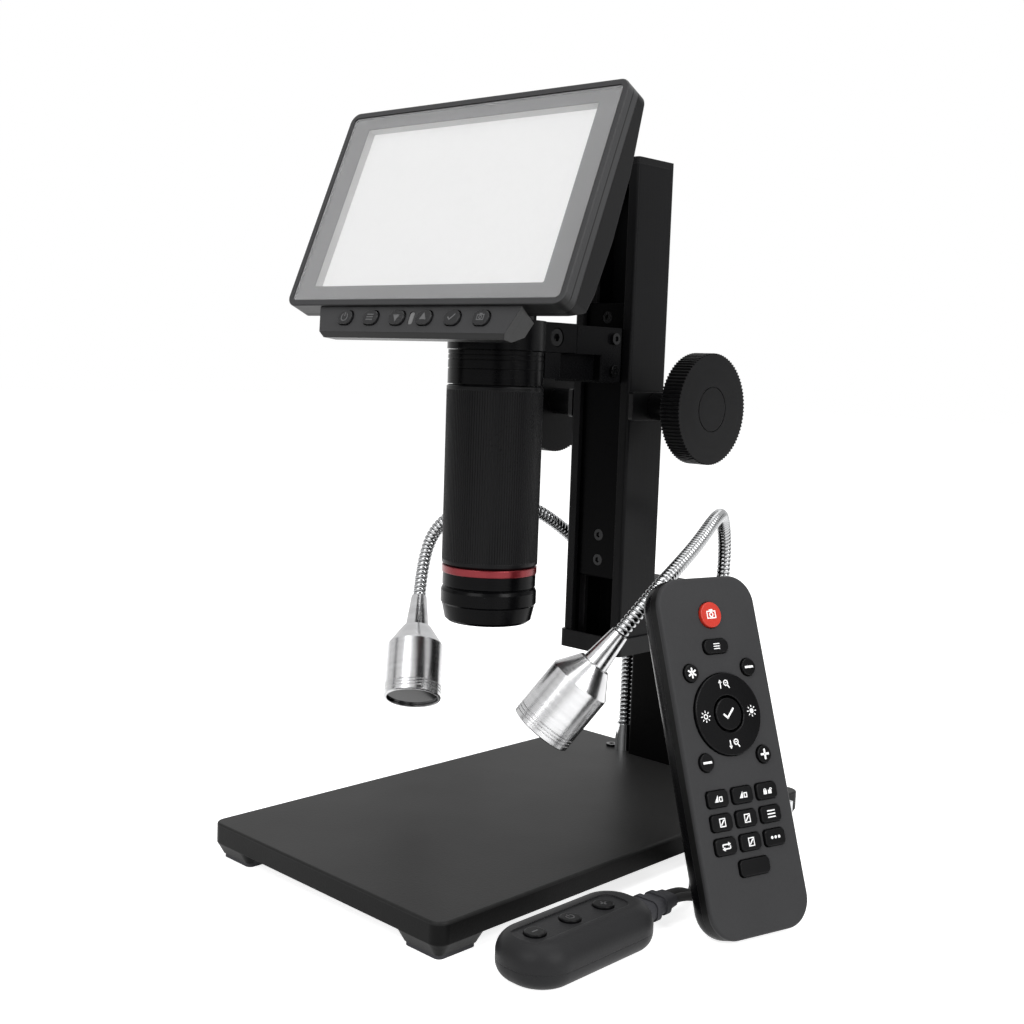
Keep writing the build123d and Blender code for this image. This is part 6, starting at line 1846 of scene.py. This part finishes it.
@dataclass
class RemoteControl:
    """Remote control that stands leaning by the base."""

    origin: tuple[float, float] = (116.9, 13.1)
    heading: float = 75.1
    lean: float = 20.3
    thickness: float = 12.5
    edge: float = 6.5
    key_proud: float = 1.0
    hard_proud: float = 0.1
    power_up: float = 103.5
    menu_up: float = 92.9
    power_size: float = 1.9
    ring_size: float = 1.75
    ok_size: float = 2.2
    small_size: float = 1.75
    grid_size: float = 1.65
    menu_size: float = 1.3
    ring_up: float = 70.4
    ring_reach: float = 9.7
    small_out: float = 12.1
    small_up: float = 14.55
    grid_up: float = 36.6
    column: float = 10.3
    row: float = 7.5

    def plane(self) -> LocalPlane:
        """The remote's face; up runs along it from its lower end.

        Returns:
            The plane, with its origin at the lower end.
        """
        h, s = radians(self.heading), radians(self.lean)
        rise = self.edge - self.edge * cos(s) + (self.thickness - self.edge) * sin(s)
        return LocalPlane((*self.origin, FLOOR + rise), (cos(h), sin(h), 0.0),
                          (sin(h) * cos(s), -cos(h) * cos(s), sin(s)))

    def symbols(self) -> None:
        """White symbols on the keys, in place of any words."""
        face = self.plane()
        proud = self.key_proud

        def pen(across: float, up: float, hard: bool = False) -> KeySymbol:
            """Pen on the key at that place."""
            return KeySymbol(face.moved(across, up, proud + (self.hard_proud if hard else 0.0)))

        power = Symbol.camera(pen(0, self.power_up, True), self.power_size)
        power.finish("remote_power_key_symbol", ICON_WHITE, "remote_power_key", "white_strip")
        ring = KeySymbol(face.moved(0, self.ring_up, proud + self.hard_proud))
        base = ring.plane
        for across, up, shape, extra in (
            (0, self.ring_reach, Symbol.magnifier, {"up": True}),
            (0, -self.ring_reach, Symbol.magnifier, {"up": False}),
            (-self.ring_reach, 0, Symbol.sun, {"full": False}),
            (self.ring_reach, 0, Symbol.sun, {"full": True}),
        ):
            part = KeySymbol(base)
            shape(part, self.ring_size, **extra)
            moved = [loop + np.array([across, up, 0.0]) for loop in part.points]
            ring.faces += [[k + ring.count for k in face_points] for face_points in part.faces]
            ring.points += moved
            ring.count += part.count
        ring.finish("remote_ring_key_symbol", ICON_WHITE, "remote_ring_key", "white_strip")
        tick = Symbol.tick(pen(0, self.ring_up, True), self.ok_size)
        tick.finish("remote_ok_key_symbol", ICON_WHITE, "remote_ok_key", "white_strip")
        low, high = self.ring_up - self.small_up, self.ring_up + self.small_up
        small = [("dim", -self.small_out, high, Symbol.asterisk, {}), ("near", self.small_out, high, Symbol.minus, {}),
                 ("less", -self.small_out, low, Symbol.minus, {}), ("more", self.small_out, low, Symbol.plus, {})]
        grid = [("flip", -1, 1, Symbol.mirror, {}), ("turn", 0, 1, Symbol.mirror, {}), ("lock", 1, 1, Symbol.locks, {}),
                ("picture_one", -1, 0, Symbol.picture, {"rising": True}),
                ("picture_two", 0, 0, Symbol.picture, {"rising": True}), ("list", 1, 0, Symbol.lines, {}),
                ("swap", -1, -1, Symbol.swap, {}), ("split", 0, -1, Symbol.picture, {"rising": True}),
                ("more_set", 1, -1, Symbol.dots, {})]
        for name, across, up, shape, extra in small:
            shape(pen(across, up), self.small_size, **extra).finish(
                f"remote_{name}_symbol", ICON_WHITE, Body.REMOTE.value, "white_strip")
        for name, column, row, shape, extra in grid:
            shape(pen(column * self.column, self.grid_up + row * self.row), self.grid_size, **extra).finish(
                f"remote_{name}_symbol", ICON_WHITE, Body.REMOTE.value, "white_strip")
        menu = Symbol.lines(pen(0, self.menu_up), self.menu_size)
        menu.finish("remote_menu_symbol", ICON_WHITE, Body.REMOTE.value, "white_strip")

    def build(self) -> None:
        """Finish the remote's nodes and print its keys."""
        face = self.plane()
        dress(replace(CHARCOAL, centre=face.origin, axis=face.normal), ["remote_front_shell"])
        dress(REMOTE_BACK, ["remote_back_shell", "remote_battery_door"])
        dress(CELL_STEEL, ["remote_coin_cell"])
        dress(KEY_RUBBER, ["remote_key_mat"])
        dress(RED_KEY, ["remote_power_key"])
        dress(GLOSS_BLACK, ["remote_ring_key", "remote_ok_key"])
        self.symbols()


def lamps() -> list[Gooseneck]:
    """Both lamps with the routes of their necks.

    Returns:
        The left lamp and the right lamp.
    """
    left_rim, left_aim = (-44.0, 3.5, 35.9), (-0.388, 0.402, 0.830)
    right_rim, right_aim = (34.2, -6.7, 42.0), (0.433, 0.416, 0.799)
    straight, inside = 60.7, 36.0

    def up(rim: Point, aim: Point, run: float) -> Point:
        """Point on the lamp's axis at a distance above its rim."""
        unit = np.array(aim) / np.linalg.norm(aim)
        return tuple(float(v) for v in np.array(rim) + unit * run)

    left = [(-23.5, 112.0, 1.06), (-23.5, 112.0, 30.0), (-23.5, 112.0, 52.0), (-25.0, 94.0, 82.0), (-25.5, 70.0, 101.0),
            (-28.0, 47.0, 113.0), (-42.5, 37.0, 112.5), (-59.0, 29.5, 103.5), up(left_rim, left_aim, straight),
            up(left_rim, left_aim, inside)]
    right = [(23.5, 112.0, 1.06), (23.5, 112.0, 40.0), (23.5, 112.0, 64.0), (26.5, 110.5, 94.0), (33.0, 98.0, 111.0),
             (43.0, 80.0, 113.0), (51.0, 57.0, 104.5), (57.5, 36.0, 98.0), up(right_rim, right_aim, straight),
             up(right_rim, right_aim, inside)]
    return [Gooseneck(Body.LAMP_LEFT, "gooseneck_left", "left", left, left_rim, left_aim),
            Gooseneck(Body.LAMP_RIGHT, "gooseneck_right", "right", right, right_rim, right_aim)]


def main() -> None:
    """Build the scene, piece by piece."""
    logging.basicConfig(level=logging.INFO, format="%(name)s: %(message)s")
    studio = Studio()
    studio.camera()
    Cords().build()
    Stand().build()
    FocusDrive().build()
    OpticalTube().build()
    ScreenHead().build()
    dress(CHROME, ["gooseneck_sockets"])
    for lamp in lamps():
        lamp.build()
    LampController().build()
    RemoteControl().build()
    studio.build()
    bpy.context.view_layer.update()


if __name__ == "__main__":
    main()
